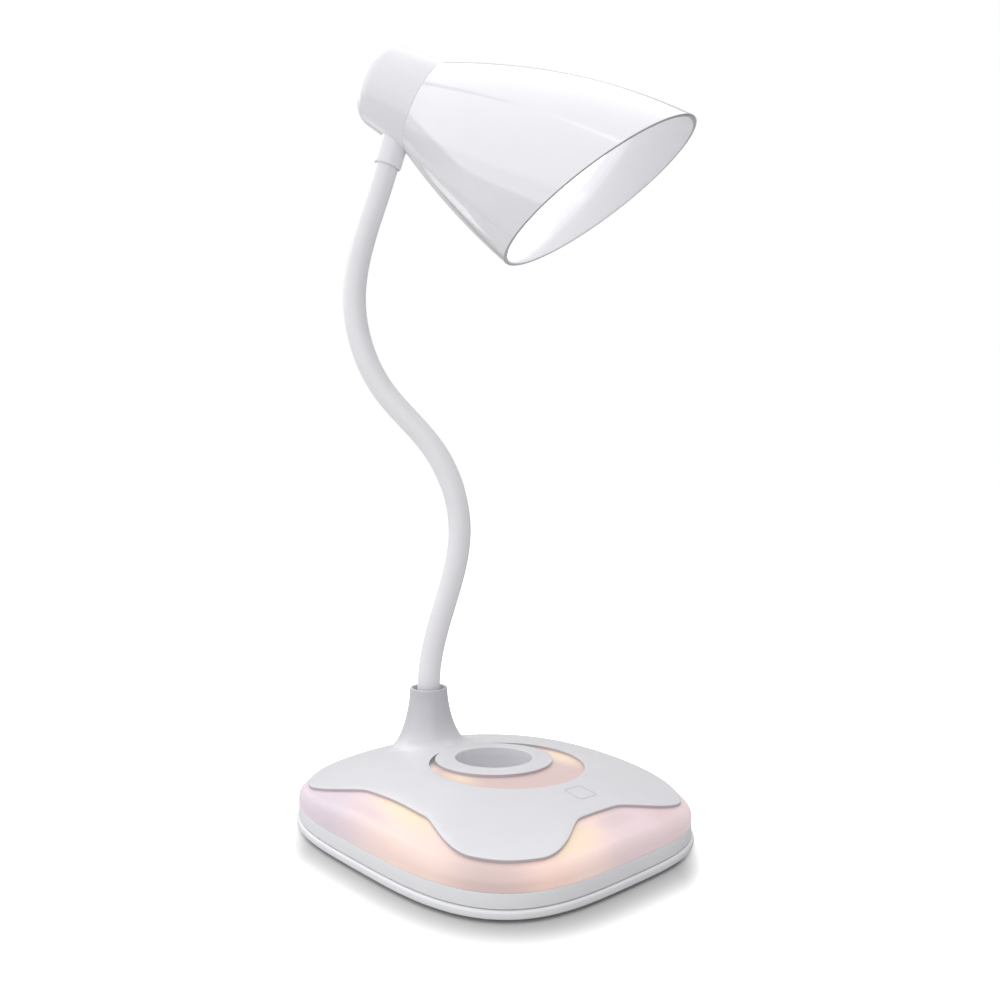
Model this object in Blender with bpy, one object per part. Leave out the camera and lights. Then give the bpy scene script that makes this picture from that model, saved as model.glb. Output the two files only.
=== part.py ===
"""Touch LED table lamp in metres, +Z up, standing on its non-slip pad at z = 0.

The base is a squircle longer along X (forward) than along Y (the lamp's left). A wavy, domed
top plate lies on a milky shell that glows where the plate leaves it bare. A trumpet socket at
the back holds a bendable neck, drawn as a chain of links with ball ends, and the neck carries
a turned head: a rear housing, a flared shade cut by a slanting mouth, and the light inside.
"""

import math

import bmesh
import bpy
import numpy as np
from mathutils import Matrix, Vector

# Fits and steps
GAP = 0.0003
OVERRUN = 0.003
SEAT_SINK = 0.0006
OUTLINE_STEPS = 56
PLATE_STEPS = 80
ROUND_STEPS = 4
TURN_STEPS = 36
MIDDLE_STEPS = 24
SMALL_STEPS = 16
SCREW_STEPS = 12

# Base outline and its dome
BASE_LENGTH = 0.165
BASE_WIDTH = 0.1418
BASE_POWER = 3.4
DOME_TOP = 0.029
DOME_DROP = 0.00985
FEATURE_Y = 0.0101

# Non-slip pad and bottom cover
PAD_THICK = 0.0009
PAD_INSET = 0.006
COVER_FLOOR = 0.0022
FLANGE_HEIGHT = 0.0032
FLANGE_WIDTH = 0.005
FLANGE_ROUND = 0.001

# Case band
BAND_INSET = 0.0009
BAND_HEIGHT = 0.0058
BAND_WALL = 0.0023
BAND_ROUND = 0.0005
LIP_THICK = 0.0012
LIP_RISE = 0.0025
BOSS_TURN = 38.82
BOSS_INSET = 0.00694
BOSS_RADIUS = 0.0042
BOSS_TOP_DROP = 0.0015

# Milky shell
SHELL_WALL = 0.002
SHELL_SIDE = 0.0026
SHOULDER_WIDTH = 0.004
DOME_SHARES = (0.76, 0.5, 0.25)

# Top plate and its scallops: middle and flat part and reach in degrees, then depth
PLATE_THICK = 0.0012
PLATE_INSET = 0.0039
PLATE_POWER = 3.2
PLATE_ROUND = 0.0004
RIGHT_SCALLOP_DEPTH = 0.0152
FRONT_SCALLOP_DEPTH = 0.0176
CORNER_TRIM = 0.0028
RIGHT_SCALLOP_ANGLES = (-89.5, 20.0, 43.0)
FRONT_SCALLOP_ANGLES = (4.0, 9.0, 32.0)
CORNER_LOBE_ANGLES = (-40.0, 10.0, 32.0)
PEG_RADIUS = 0.002
PEG_STEP = 0.0008
PEG_PROUD = 0.0008
PEG_LENGTH = 0.008
PEG_PLACE_SHARES = ((0.7, -0.56), (0.7, 0.62), (-0.6, -0.58))

# Pen ring, slot and cup
PEN_X = -0.0086
PEN_RADIUS = 0.0177
RING_RADIUS = 0.027
SLOT_RADIUS = 0.0351
SLOT_SHIFT = 0.0089
PEN_COLLAR_WALL = 0.0028
PEN_COLLAR_DROP = 0.0054
CUP_WALL = 0.0015
CUP_FLOOR = 0.0016

# Touch key
KEY_BACK = 0.0024
KEY_SIDE = 0.0098
KEY_CORNER = 0.0015
KEY_LINE = 0.0007
KEY_DEPTH = 0.0004
TOUCH_RADIUS = 0.006
TOUCH_THICK = 0.0005

# Trumpet socket at the back of the plate
STEM_INSET = 0.0251
SOCKET_TOP = 0.0522
SOCKET_RADIUS = 0.0093
SOCKET_LIP = 0.0013
SOCKET_DEPTH = 0.0078
SOCKET_FLOOR = 0.003
FLARE_RADIUS = 0.02
FLARE_SHARES = (
    (0.0, 1.0),
    (0.012, 0.8),
    (0.03, 0.665),
    (0.065, 0.57),
    (0.13, 0.52),
    (0.25, 0.435),
    (0.42, 0.315),
    (0.6, 0.205),
    (0.78, 0.1),
    (0.92, 0.025),
    (1.0, 0.0),
)
HOLLOW_TOP_RADIUS = 0.0078
HOLLOW_FOOT_RADIUS = 0.0115

# Neck
NECK_RADIUS = 0.0056
SLEEVE_WALL = 0.0015
CORE_BORE = 0.0016
NECK_TURN = 40.5
NECK_RISE = 0.2505
NECK_SWING = 0.037
NECK_ROUTE_SHARES = (
    (0.0, 0.0),
    (0.19, 0.15),
    (0.424, 0.312),
    (0.08, 0.471),
    (-0.61, 0.589),
    (-1.0, 0.772),
    (-0.603, 1.0),
)
NECK_END_SHARES = (0.31, 0.95)
NECK_JOINTS = 8
NECK_SIDES = 16
CORE_SIDES = 10
BALL_ANGLES = (22.0,)
RIM_ANGLE = 23.5
CUP_MIDDLE_ANGLE = 34.0
LINK_SHARES = (0.25, 0.5, 0.75)
CORE_SHARES = (0.35, 0.65)
CORE_START = 0.0001
CORE_TOP = 0.003
ROUTE_SAMPLES = 600

# Anchor, washer and nut below the neck
ANCHOR_FLANGE = 0.002
ANCHOR_EDGE = 0.0005
STUD_RADIUS = 0.004
STUD_BORE = 0.002
STUD_REACH = 0.0185
WASHER_THICK = 0.0008
WASHER_EDGE = 0.0005
NUT_WIDTH = 0.0105
NUT_THICK = 0.003

# Collar under the head
COLLAR_RADIUS = 0.00675
COLLAR_START = 0.0069
COLLAR_SEAT = 0.0155
SPIGOT_RADIUS = 0.0038
SPIGOT_END = 0.0262
COLLAR_NUT_START = 0.0226
COLLAR_NUT_WIDTH = 0.0095

# Head: a turned body about one slanting axis, measured from its seam
HEAD_OUT = 0.0005
HEAD_UP = 0.3357
HEAD_TILT = 29.6
SEAM_RADIUS = 0.0231
HOUSING_REAR_RADIUS = 0.0201
HOUSING_LENGTH = 0.0235
CAP_DEPTH = 0.0098
CAP_POWER = 3.3
HEAD_WALL = 0.002
LEDGE_RADIUS = 0.0155
BELL_RADIUS = 0.0525
BELL_LENGTH = 0.1278
BELL_STATIONS = 8
MOUTH_TOP = 0.1183
MOUTH_BOTTOM = 0.0699
DISC_TOP = 0.086
DISC_BOTTOM = 0.0625
DISC_THICK = 0.002

# Light engine inside the head
SPREADER_THICK = 0.002
SPREADER_RADIUS = 0.0215
SPREADER_HOLE = 0.003
LED_BOARD_RADIUS = 0.0148
LED_BOARD_THICK = 0.0016
LED_WIDTH = 0.003
LED_THICK = 0.0008
LED_PITCH = 0.0054
HEAD_SCREW_RING = 0.0183
HEAD_SCREW_COUNT = 3
HEAD_SCREW_END = 0.0045
REFLECTOR_START = 0.008
REFLECTOR_WALL = 0.0012
REFLECTOR_HOLE = 0.0158

# Screws
SCREW_RADIUS = 0.0012
SCREW_HEAD_RADIUS = 0.0022
SCREW_HEAD_HEIGHT = 0.0012
COVER_SCREW_REACH = 0.008
COUNTERBORE_DEPTH = 0.0015

# Control board and what sits on it
BOARD_INSET = 0.023
BOARD_LENGTH = 0.032
BOARD_WIDTH = 0.046
BOARD_THICK = 0.0012
BOARD_RISE = 0.0012
BOARD_HOLE_MARGIN = 0.003
POST_RADIUS = 0.0024
PLUG_WIDTH = 0.009
PLUG_HEIGHT = 0.0032
PLUG_LENGTH = 0.0074
PLUG_ROUND = 0.0012
PLUG_WALL = 0.0004
PLUG_TONGUE = 0.0007
CHIP_HEIGHT = 0.0014
CHIP_TABLE_SHARES = (
    (-0.1, -0.3, 0.24, 0.16),
    (0.2, -0.28, 0.14, 0.2),
    (-0.12, 0.3, 0.2, 0.2),
    (0.16, 0.32, 0.18, 0.12),
)

# Battery
BATTERY_X = -0.0085
BATTERY_SIDE = 0.0174
BATTERY_ROOM = 0.0051
BATTERY_LENGTH = 0.052
BATTERY_HEIGHT = 0.008
BATTERY_ROUND = 0.0022
CRADLE_WALL = 0.0014
CRADLE_FLOOR = 0.001
CRADLE_HEIGHT = 0.0045

# Ballast plate
BALLAST_EDGE = 0.0125
BALLAST_ROOM = 0.0081
BALLAST_SIDE = 0.0309
BALLAST_THICK = 0.0045
BALLAST_ROUND = 0.006
BALLAST_PEG_SHARE = 0.36

# Glow board round the pen cup
GLOW_INNER = 0.0225
GLOW_OUTER = 0.0325
GLOW_RISE = 0.0056
GLOW_THICK = 0.0012
GLOW_COUNT = 12
GLOW_LED_LENGTH = 0.0035
GLOW_LED_HEIGHT = 0.0012
GLOW_PEG_TURNS = (0.0, 120.0, 240.0)

# Wires
WIRE_RADIUS = 0.0012
WIRE_STEP_COUNT = 4
LEAD_TURN = 0.0045
LEAD_LEVEL_SHARE = 0.82
TOUCH_LEAD_TURNS = (45.0, 75.0, 105.0, 135.0)

# Worked-out places and levels
HALF_LENGTH = BASE_LENGTH / 2
HALF_WIDTH = BASE_WIDTH / 2
STEM_X = STEM_INSET - HALF_LENGTH
BOARD_X = BOARD_INSET - HALF_LENGTH
SLOT_FRONT = PEN_X + SLOT_SHIFT + SLOT_RADIUS
KEY_X = (SLOT_FRONT + HALF_LENGTH - PLATE_INSET - FRONT_SCALLOP_DEPTH) / 2 - KEY_BACK
BATTERY_RIGHT = BATTERY_SIDE - HALF_WIDTH
BATTERY_LEFT = FEATURE_Y - GLOW_OUTER - BATTERY_ROOM
BATTERY_WIDTH = BATTERY_LEFT - BATTERY_RIGHT
BATTERY_Y = (BATTERY_LEFT + BATTERY_RIGHT) / 2
BALLAST_FRONT = HALF_LENGTH - BALLAST_EDGE
BALLAST_BACK = PEN_X + GLOW_OUTER + BALLAST_ROOM
BALLAST_LENGTH = BALLAST_FRONT - BALLAST_BACK
BALLAST_X = (BALLAST_FRONT + BALLAST_BACK) / 2
BALLAST_WIDTH = BASE_WIDTH - 2 * BALLAST_SIDE
COVER_BOTTOM = PAD_THICK + GAP
FLOOR_TOP = COVER_BOTTOM + COVER_FLOOR
FLANGE_TOP = COVER_BOTTOM + FLANGE_HEIGHT
BAND_BOTTOM = FLANGE_TOP + GAP
BAND_TOP = BAND_BOTTOM + BAND_HEIGHT
SHELL_BOTTOM = BAND_TOP + GAP
SHELL_DROP = PLATE_THICK + GAP
SOCKET_BORE = SOCKET_RADIUS - SOCKET_LIP
SOCKET_SEAT = SOCKET_TOP - SOCKET_DEPTH
SOCKET_UNDER = SOCKET_SEAT - SOCKET_FLOOR
SLEEVE_BORE = NECK_RADIUS - SLEEVE_WALL
CORE_RADIUS = SLEEVE_BORE - GAP
JOINT_CUP = NECK_RADIUS + GAP
BOARD_BOTTOM = FLOOR_TOP + BOARD_RISE
BOARD_TOP = BOARD_BOTTOM + BOARD_THICK
GLOW_BOTTOM = FLOOR_TOP + GLOW_RISE
GLOW_TOP = GLOW_BOTTOM + GLOW_THICK

# Finishes: colour, roughness, metallic
WHITE_SATIN = ((0.86, 0.86, 0.87), 0.34, 0.0)
COOL_WHITE = ((0.74, 0.745, 0.76), 0.42, 0.0)
MILKY = ((0.9, 0.72, 0.7), 0.5, 0.0)
RUBBER = ((0.06, 0.06, 0.065), 0.85, 0.0)
STEEL = ((0.62, 0.62, 0.63), 0.35, 1.0)
ALUMINIUM = ((0.78, 0.78, 0.79), 0.4, 1.0)
COPPER = ((0.8, 0.42, 0.25), 0.35, 1.0)
BOARD_GREEN = ((0.05, 0.24, 0.13), 0.5, 0.0)
BOARD_WHITE = ((0.82, 0.83, 0.82), 0.5, 0.0)
CELL_BLUE = ((0.1, 0.25, 0.5), 0.4, 0.0)
MARK_GREY = ((0.5, 0.51, 0.53), 0.5, 0.0)
WIRE_RED = ((0.6, 0.05, 0.04), 0.5, 0.0)
FROSTED = ((0.93, 0.92, 0.88), 0.55, 0.0)


def clear_scene():
    """Removes what Blender's start-up file holds."""
    for old in list(bpy.data.objects):
        bpy.data.objects.remove(old, do_unlink=True)


def paint(piece, finish):
    """Gives a piece a material of its own."""
    colour, roughness, metallic = finish
    material = bpy.data.materials.new(piece.name + "_finish")
    material.use_nodes = True
    shader = material.node_tree.nodes["Principled BSDF"]
    shader.inputs["Base Color"].default_value = (*colour, 1.0)
    shader.inputs["Roughness"].default_value = roughness
    shader.inputs["Metallic"].default_value = metallic
    material.diffuse_color = (*colour, 1.0)
    piece.data.materials.append(material)


def add_piece(name, data, finish=None, carrier=None, frame=None):
    """Links an object, puts it in its frame and hangs it on the empty that carries it."""
    piece = bpy.data.objects.new(name, data)
    bpy.context.scene.collection.objects.link(piece)
    if frame is not None:
        piece.matrix_world = frame
    if finish is not None:
        paint(piece, finish)
    if carrier is not None:
        world = piece.matrix_world.copy()
        piece.parent = carrier
        piece.matrix_parent_inverse = carrier.matrix_world.inverted()
        piece.matrix_world = world
    return piece


def add_empty(name, place, carrier=None):
    """An empty on a joint's axis."""
    empty = bpy.data.objects.new(name, None)
    bpy.context.scene.collection.objects.link(empty)
    empty.location = place
    if carrier is not None:
        empty.parent = carrier
        empty.matrix_parent_inverse = carrier.matrix_world.inverted()
    bpy.context.view_layer.update()
    return empty


def as_tool(piece):
    """Marks an object as a cutter or a filler that only other pieces' modifiers use."""
    piece.hide_render = True
    piece.display_type = "WIRE"
    return piece


def combine(piece, tool, operation):
    """Adds a Boolean modifier."""
    step = piece.modifiers.new(operation.lower() + "_" + tool.name, "BOOLEAN")
    step.operation = operation
    step.solver = "EXACT"
    step.object = as_tool(tool)


def cut(piece, tool):
    combine(piece, tool, "DIFFERENCE")


def fuse(piece, tool):
    combine(piece, tool, "UNION")


def soften(piece, width, segments=2):
    """Rounds a block's edges."""
    step = piece.modifiers.new("soft_edges", "BEVEL")
    step.width = width
    step.segments = segments
    step.limit_method = "ANGLE"


def finish_mesh(name, mesh_work):
    """Turns bmesh work into a smooth shaded mesh whose faces point out."""
    bmesh.ops.recalc_face_normals(mesh_work, faces=mesh_work.faces)
    if mesh_work.calc_volume(signed=True) < 0:
        bmesh.ops.reverse_faces(mesh_work, faces=mesh_work.faces)
    mesh = bpy.data.meshes.new(name)
    mesh_work.to_mesh(mesh)
    mesh_work.free()
    mesh.shade_smooth()
    mesh.set_sharp_from_angle(angle=math.radians(35.0))
    return mesh


def skin_rings(name, rings, ends):
    """Skins rings of equal count into a closed "ring", or closes both ends "flat" or "domed"."""
    work = bmesh.new()
    loops = [[work.verts.new(point) for point in ring] for ring in rings]
    count = len(loops[0])
    pairs = list(zip(loops[:-1], loops[1:]))
    if ends == "ring":
        pairs.append((loops[-1], loops[0]))
    for low, high in pairs:
        for i in range(count):
            j = (i + 1) % count
            work.faces.new((low[i], low[j], high[j], high[i]))
    for loop in (loops[0], loops[-1]):
        if ends == "flat":
            work.faces.new(loop)
        elif ends == "domed":
            depth = dome(loop[0].co.x, loop[0].co.y) - loop[0].co.z
            middle = work.verts.new((0, 0, DOME_TOP - depth))
            for i in range(count):
                work.faces.new((loop[i], loop[(i + 1) % count], middle))
    return finish_mesh(name, work)


def turned(name, profile, steps=TURN_STEPS, **place):
    """A piece turned about local Z from points (radius, height), closed or ending on the axis."""
    points = list(profile)
    closed = points[0][0] > 0
    loop = points + [points[0]]
    area = sum(a[0] * b[1] - b[0] * a[1] for a, b in zip(loop[:-1], loop[1:]))
    if area > 0:
        points.reverse()
    work = bmesh.new()
    verts = [work.verts.new((radius, 0, height)) for radius, height in points]
    for first, second in zip(verts[:-1], verts[1:]):
        work.edges.new((first, second))
    if closed:
        work.edges.new((verts[-1], verts[0]))
    mesh = bpy.data.meshes.new(name)
    work.to_mesh(mesh)
    work.free()
    piece = add_piece(name, mesh, **place)
    screw = piece.modifiers.new("turning", "SCREW")
    screw.axis = "Z"
    screw.angle = math.tau
    screw.steps = steps
    screw.render_steps = steps
    screw.use_merge_vertices = True
    screw.merge_threshold = 0.00001
    screw.use_smooth_shade = True
    return piece


def block_corners(size, centre):
    """The eight corners of a block."""
    half = [side / 2 for side in size]
    return [
        (centre[0] + x * half[0], centre[1] + y * half[1], centre[2] + z * half[2])
        for x in (-1, 1)
        for y in (-1, 1)
        for z in (-1, 1)
    ]


def add_block(work, size, centre, frame=None):
    """Adds a block to bmesh work."""
    made = bmesh.ops.create_cube(work, size=1.0)["verts"]
    bmesh.ops.scale(work, vec=Vector(size), verts=made)
    bmesh.ops.translate(work, vec=Vector(centre), verts=made)
    if frame is not None:
        bmesh.ops.transform(work, matrix=frame, verts=made)


def add_rod(work, radius, low, high, x=0, y=0, steps=SCREW_STEPS, turn=0):
    """Adds an upright rod to bmesh work."""
    made = bmesh.ops.create_cone(
        work,
        cap_ends=True,
        cap_tris=False,
        segments=steps,
        radius1=radius,
        radius2=radius,
        depth=high - low,
    )["verts"]
    bmesh.ops.rotate(work, cent=(0, 0, 0), matrix=Matrix.Rotation(turn, 3, "Z"), verts=made)
    bmesh.ops.translate(work, vec=(x, y, (low + high) / 2), verts=made)


def from_work(name, work, finish=None, carrier=None, frame=None):
    """Makes an object of bmesh work."""
    return add_piece(name, finish_mesh(name, work), finish, carrier, frame)


def rods(name, places, radius, low, high, steps=SCREW_STEPS, **rest):
    """Equal upright rods as one object."""
    work = bmesh.new()
    for x, y in places:
        add_rod(work, radius, low, high, x, y, steps)
    return from_work(name, work, **rest)


def stepped_rods(name, places, low, steps):
    """Equal upright rods that get thinner in steps of (radius, top)."""
    work = bmesh.new()
    for x, y in places:
        foot = low
        for radius, top in steps:
            add_rod(work, radius, foot, top, x, y)
            foot = top - SEAT_SINK
    return from_work(name, work)


def block(name, size, centre, edge=0, **rest):
    """A block, with soft edges if a width is given."""
    work = bmesh.new()
    add_block(work, size, centre)
    piece = from_work(name, work, **rest)
    if edge > 0:
        soften(piece, edge)
    return piece


def screws(name, places, seat, reach, head_up=1, frame=None, carrier=None):
    """Equal pan-head screws: heads on the seat's level, shanks the other way."""
    top = seat + head_up * SCREW_HEAD_HEIGHT
    tip = seat - head_up * reach
    profile = [(0, tip), (SCREW_RADIUS, tip), (SCREW_RADIUS, seat)]
    profile += [(SCREW_HEAD_RADIUS, seat), (SCREW_HEAD_RADIUS, top), (0, top)]
    base = frame if frame is not None else Matrix.Identity(4)
    for number, (x, y) in enumerate(places, 1):
        place = base @ Matrix.Translation((x, y, 0))
        turned(f"{name}_{number}", profile, SCREW_STEPS, finish=STEEL, carrier=carrier, frame=place)


def wire(name, route, **rest):
    """A lead as a bevelled curve through a smooth line of points."""
    points = smooth_line(route, WIRE_STEP_COUNT)
    data = bpy.data.curves.new(name, "CURVE")
    data.dimensions = "3D"
    data.bevel_depth = WIRE_RADIUS
    data.bevel_resolution = 2
    data.use_fill_caps = True
    spline = data.splines.new("POLY")
    spline.points.add(len(points) - 1)
    for slot, point in zip(spline.points, points):
        slot.co = (*point, 1.0)
    return add_piece(name, data, **rest)


def smooth_line(route, count):
    """Points along a Catmull-Rom line through the route."""
    knots = [Vector(point) for point in route]
    padded = [knots[0] * 2 - knots[1], *knots, knots[-1] * 2 - knots[-2]]
    line = []
    for a, b, c, d in zip(padded[:-3], padded[1:-2], padded[2:-1], padded[3:]):
        for step in range(count):
            t = step / count
            line.append(
                0.5 * (2 * b + (c - a) * t + (2 * a - 5 * b + 4 * c - d) * t**2 + (3 * b - a - 3 * c + d) * t**3)
            )
    return [*line, knots[-1]]


def polar_angles(count):
    return np.arange(count) * math.tau / count


def squircle_radius(turns, half_x, half_y, power):
    """Distance from the middle to a superellipse in each direction."""
    across = (np.abs(np.cos(turns)) / half_x) ** power
    along = (np.abs(np.sin(turns)) / half_y) ** power
    return (across + along) ** (-1 / power)


def base_outline(inset):
    """The base's outline, drawn in from its widest edge."""
    turns = polar_angles(OUTLINE_STEPS)
    reach = squircle_radius(turns, HALF_LENGTH - inset, HALF_WIDTH - inset, BASE_POWER)
    return np.column_stack((reach * np.cos(turns), reach * np.sin(turns)))


def level_ring(outline, height):
    return np.column_stack((outline, np.full(len(outline), height)))


def dome(x, y):
    """Height of the plate's top surface."""
    return DOME_TOP - DOME_DROP * (x**2 + y**2) / HALF_LENGTH**2


def dome_ring(outline, drop):
    return np.column_stack((outline, dome(outline[:, 0], outline[:, 1]) - drop))


def scallop(turns, place, depth):
    """How far a scallop bites in: full over its flat part, then a smooth step to nothing."""
    middle, flat, reach = (math.radians(value) for value in place)
    away = np.abs((turns - middle + math.pi) % math.tau - math.pi)
    t = np.clip((reach - away) / (reach - flat), 0, 1)
    return depth * t * t * (3 - 2 * t)


def plate_outline(inset=0):
    """The top plate's wavy outline."""
    turns = polar_angles(PLATE_STEPS)
    reach = squircle_radius(turns, HALF_LENGTH - PLATE_INSET, HALF_WIDTH - PLATE_INSET, PLATE_POWER)
    reach -= scallop(turns, RIGHT_SCALLOP_ANGLES, RIGHT_SCALLOP_DEPTH)
    reach -= scallop(turns, FRONT_SCALLOP_ANGLES, FRONT_SCALLOP_DEPTH)
    reach -= scallop(turns, CORNER_LOBE_ANGLES, CORNER_TRIM)
    reach -= inset
    return np.column_stack((reach * np.cos(turns), reach * np.sin(turns)))


def quarter_steps(count=ROUND_STEPS):
    """Angles from zero to a right angle."""
    return np.linspace(0, math.pi / 2, count)


def make_pad():
    low = level_ring(base_outline(PAD_INSET), 0)
    high = level_ring(base_outline(PAD_INSET), PAD_THICK)
    add_piece("non_slip_pad", skin_rings("non_slip_pad", [low, high], "flat"), RUBBER)


def cover_screw_places():
    """One screw in each corner, drawn in from the outline along one slanting line."""
    turn = math.radians(BOSS_TURN)
    reach = squircle_radius(turn, HALF_LENGTH, HALF_WIDTH, BASE_POWER) - BOSS_INSET
    across, along = reach * math.cos(turn), reach * math.sin(turn)
    return [(x, y) for x in (-across, across) for y in (-along, along)]


def board_screw_places():
    reach_x = BOARD_LENGTH / 2 - BOARD_HOLE_MARGIN
    reach_y = BOARD_WIDTH / 2 - BOARD_HOLE_MARGIN
    return [(BOARD_X + x, FEATURE_Y + y) for x in (-reach_x, reach_x) for y in (-reach_y, reach_y)]


def glow_peg_places():
    middle = (GLOW_INNER + GLOW_OUTER) / 2
    turns = [math.radians(turn) for turn in GLOW_PEG_TURNS]
    return [(PEN_X + middle * math.cos(t), FEATURE_Y + middle * math.sin(t)) for t in turns]


def ballast_peg_places():
    return [(BALLAST_X, side * BALLAST_PEG_SHARE * BALLAST_WIDTH) for side in (-1, 1)]


def make_cover():
    """Bottom cover: a floor with a rounded flange, posts for the boards and countersunk screws."""
    rings = []
    for turn in quarter_steps(3):
        inset = FLANGE_ROUND * (1 - math.sin(turn))
        rings.append(level_ring(base_outline(inset), COVER_BOTTOM + FLANGE_ROUND * (1 - math.cos(turn))))
    for turn in quarter_steps(3):
        inset = FLANGE_ROUND * (1 - math.cos(turn))
        rings.append(level_ring(base_outline(inset), FLANGE_TOP - FLANGE_ROUND * (1 - math.sin(turn))))
    rings.append(level_ring(base_outline(FLANGE_WIDTH), FLANGE_TOP))
    rings.append(level_ring(base_outline(FLANGE_WIDTH), FLOOR_TOP))
    cover = add_piece("bottom_cover", skin_rings("bottom_cover", rings, "flat"), COOL_WHITE)
    sunk = FLOOR_TOP - SEAT_SINK
    fuse(cover, rods("board_posts", board_screw_places(), POST_RADIUS, sunk, BOARD_BOTTOM - GAP))
    posts = [(POST_RADIUS, GLOW_BOTTOM - GAP), (PEG_RADIUS - PEG_STEP, GLOW_TOP + PEG_PROUD)]
    fuse(cover, stepped_rods("glow_posts", glow_peg_places(), sunk, posts))
    ballast_top = FLOOR_TOP + GAP + BALLAST_THICK
    fuse(cover, rods("ballast_pegs", ballast_peg_places(), PEG_RADIUS, sunk, ballast_top))
    hole = SCREW_RADIUS + GAP
    cut(cover, rods("pilot_holes", board_screw_places(), hole, sunk, BOARD_BOTTOM + OVERRUN))
    through = rods("cover_holes", cover_screw_places(), hole, COVER_BOTTOM - OVERRUN, FLANGE_TOP + OVERRUN)
    cut(cover, through)
    bore = SCREW_HEAD_RADIUS + GAP
    top = COVER_BOTTOM + COUNTERBORE_DEPTH
    cut(cover, rods("counterbores", cover_screw_places(), bore, COVER_BOTTOM - OVERRUN, top))
    screws("cover_screw", cover_screw_places(), top - GAP, COVER_SCREW_REACH, -1)


def make_band():
    """Case band: an upright wall with a lip inside it, four screw bosses and the socket's slot."""
    inner = BAND_INSET + BAND_WALL + LIP_THICK
    lip = BAND_INSET + BAND_WALL
    section = [
        (inner, BAND_BOTTOM),
        (BAND_INSET + BAND_ROUND, BAND_BOTTOM),
        (BAND_INSET, BAND_BOTTOM + BAND_ROUND),
        (BAND_INSET, BAND_TOP),
        (lip, BAND_TOP),
        (lip, BAND_TOP + LIP_RISE),
        (inner, BAND_TOP + LIP_RISE),
    ]
    rings = [level_ring(base_outline(inset), height) for inset, height in section]
    band = add_piece("case_band", skin_rings("case_band", rings, "ring"), COOL_WHITE)
    top = BAND_TOP - BOSS_TOP_DROP
    fuse(band, rods("screw_bosses", cover_screw_places(), BOSS_RADIUS, FLANGE_TOP + GAP, top, SMALL_STEPS))
    hole = SCREW_RADIUS + GAP
    cut(band, rods("boss_holes", cover_screw_places(), hole, FLANGE_TOP - OVERRUN, top + OVERRUN))
    slot_size = (PLUG_LENGTH * 2, PLUG_WIDTH + 2 * GAP, PLUG_HEIGHT + 2 * GAP)
    middle = BOARD_TOP + GAP + PLUG_HEIGHT / 2
    slot = block("plug_slot", slot_size, (-HALF_LENGTH, FEATURE_Y, middle), PLUG_ROUND)
    cut(band, slot)


def shell_rings(inset, drop, foot):
    """Rings of the milky shell from its foot over the shoulder and onto the dome."""
    rings = [level_ring(base_outline(inset), foot)]
    side = SHELL_BOTTOM + SHELL_SIDE
    if foot < side:
        rings.append(level_ring(base_outline(inset), side))
    for turn in quarter_steps()[1:]:
        outline = base_outline(inset + SHOULDER_WIDTH * (1 - math.cos(turn)))
        top = dome(outline[:, 0], outline[:, 1]) - drop
        rings.append(np.column_stack((outline, side + (top - side) * math.sin(turn))))
    edge = base_outline(inset + SHOULDER_WIDTH)
    rings += [dome_ring(edge * share, drop) for share in DOME_SHARES]
    return rings


def make_shell():
    """Milky shell: side wall, rounded shoulder and dome, open for the cup, stem and pegs."""
    inner = shell_rings(BAND_INSET + SHELL_WALL, SHELL_DROP + SHELL_WALL, SHELL_BOTTOM)
    outer = shell_rings(BAND_INSET, SHELL_DROP, SHELL_BOTTOM)
    rings = inner[::-1] + outer
    shell = add_piece("light_diffuser", skin_rings("light_diffuser", rings, "domed"), MILKY)
    high = DOME_TOP + OVERRUN
    low = SHELL_BOTTOM
    collar = PEN_RADIUS + PEN_COLLAR_WALL + GAP
    cut(shell, rods("cup_hole", [(PEN_X, FEATURE_Y)], collar, low, high, TURN_STEPS))
    stem = HOLLOW_FOOT_RADIUS
    cut(shell, rods("stem_hole", [(STEM_X, FEATURE_Y)], stem, low, high, SMALL_STEPS))
    cut(shell, rods("peg_holes", peg_places(), PEG_RADIUS + GAP, low, high))


def peg_places():
    return [(x * HALF_LENGTH, y * HALF_WIDTH) for x, y in PEG_PLACE_SHARES]


def flare_rings():
    """Trumpet rings: the foot follows the dome, and the rings level out towards the mouth."""
    turns = np.arange(TURN_STEPS) * math.tau / TURN_STEPS
    rings = []
    for height, reach in ((-PLATE_THICK / 2, 1.0), *FLARE_SHARES):
        radius = SOCKET_RADIUS + (FLARE_RADIUS - SOCKET_RADIUS) * reach
        outline = np.column_stack((STEM_X + radius * np.cos(turns), FEATURE_Y + radius * np.sin(turns)))
        sink = -min(height, 0)
        share = max(height, 0)
        foot = dome(outline[:, 0], outline[:, 1])
        rings.append(np.column_stack((outline, foot + (SOCKET_TOP - foot) * share - sink)))
    return rings


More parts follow.
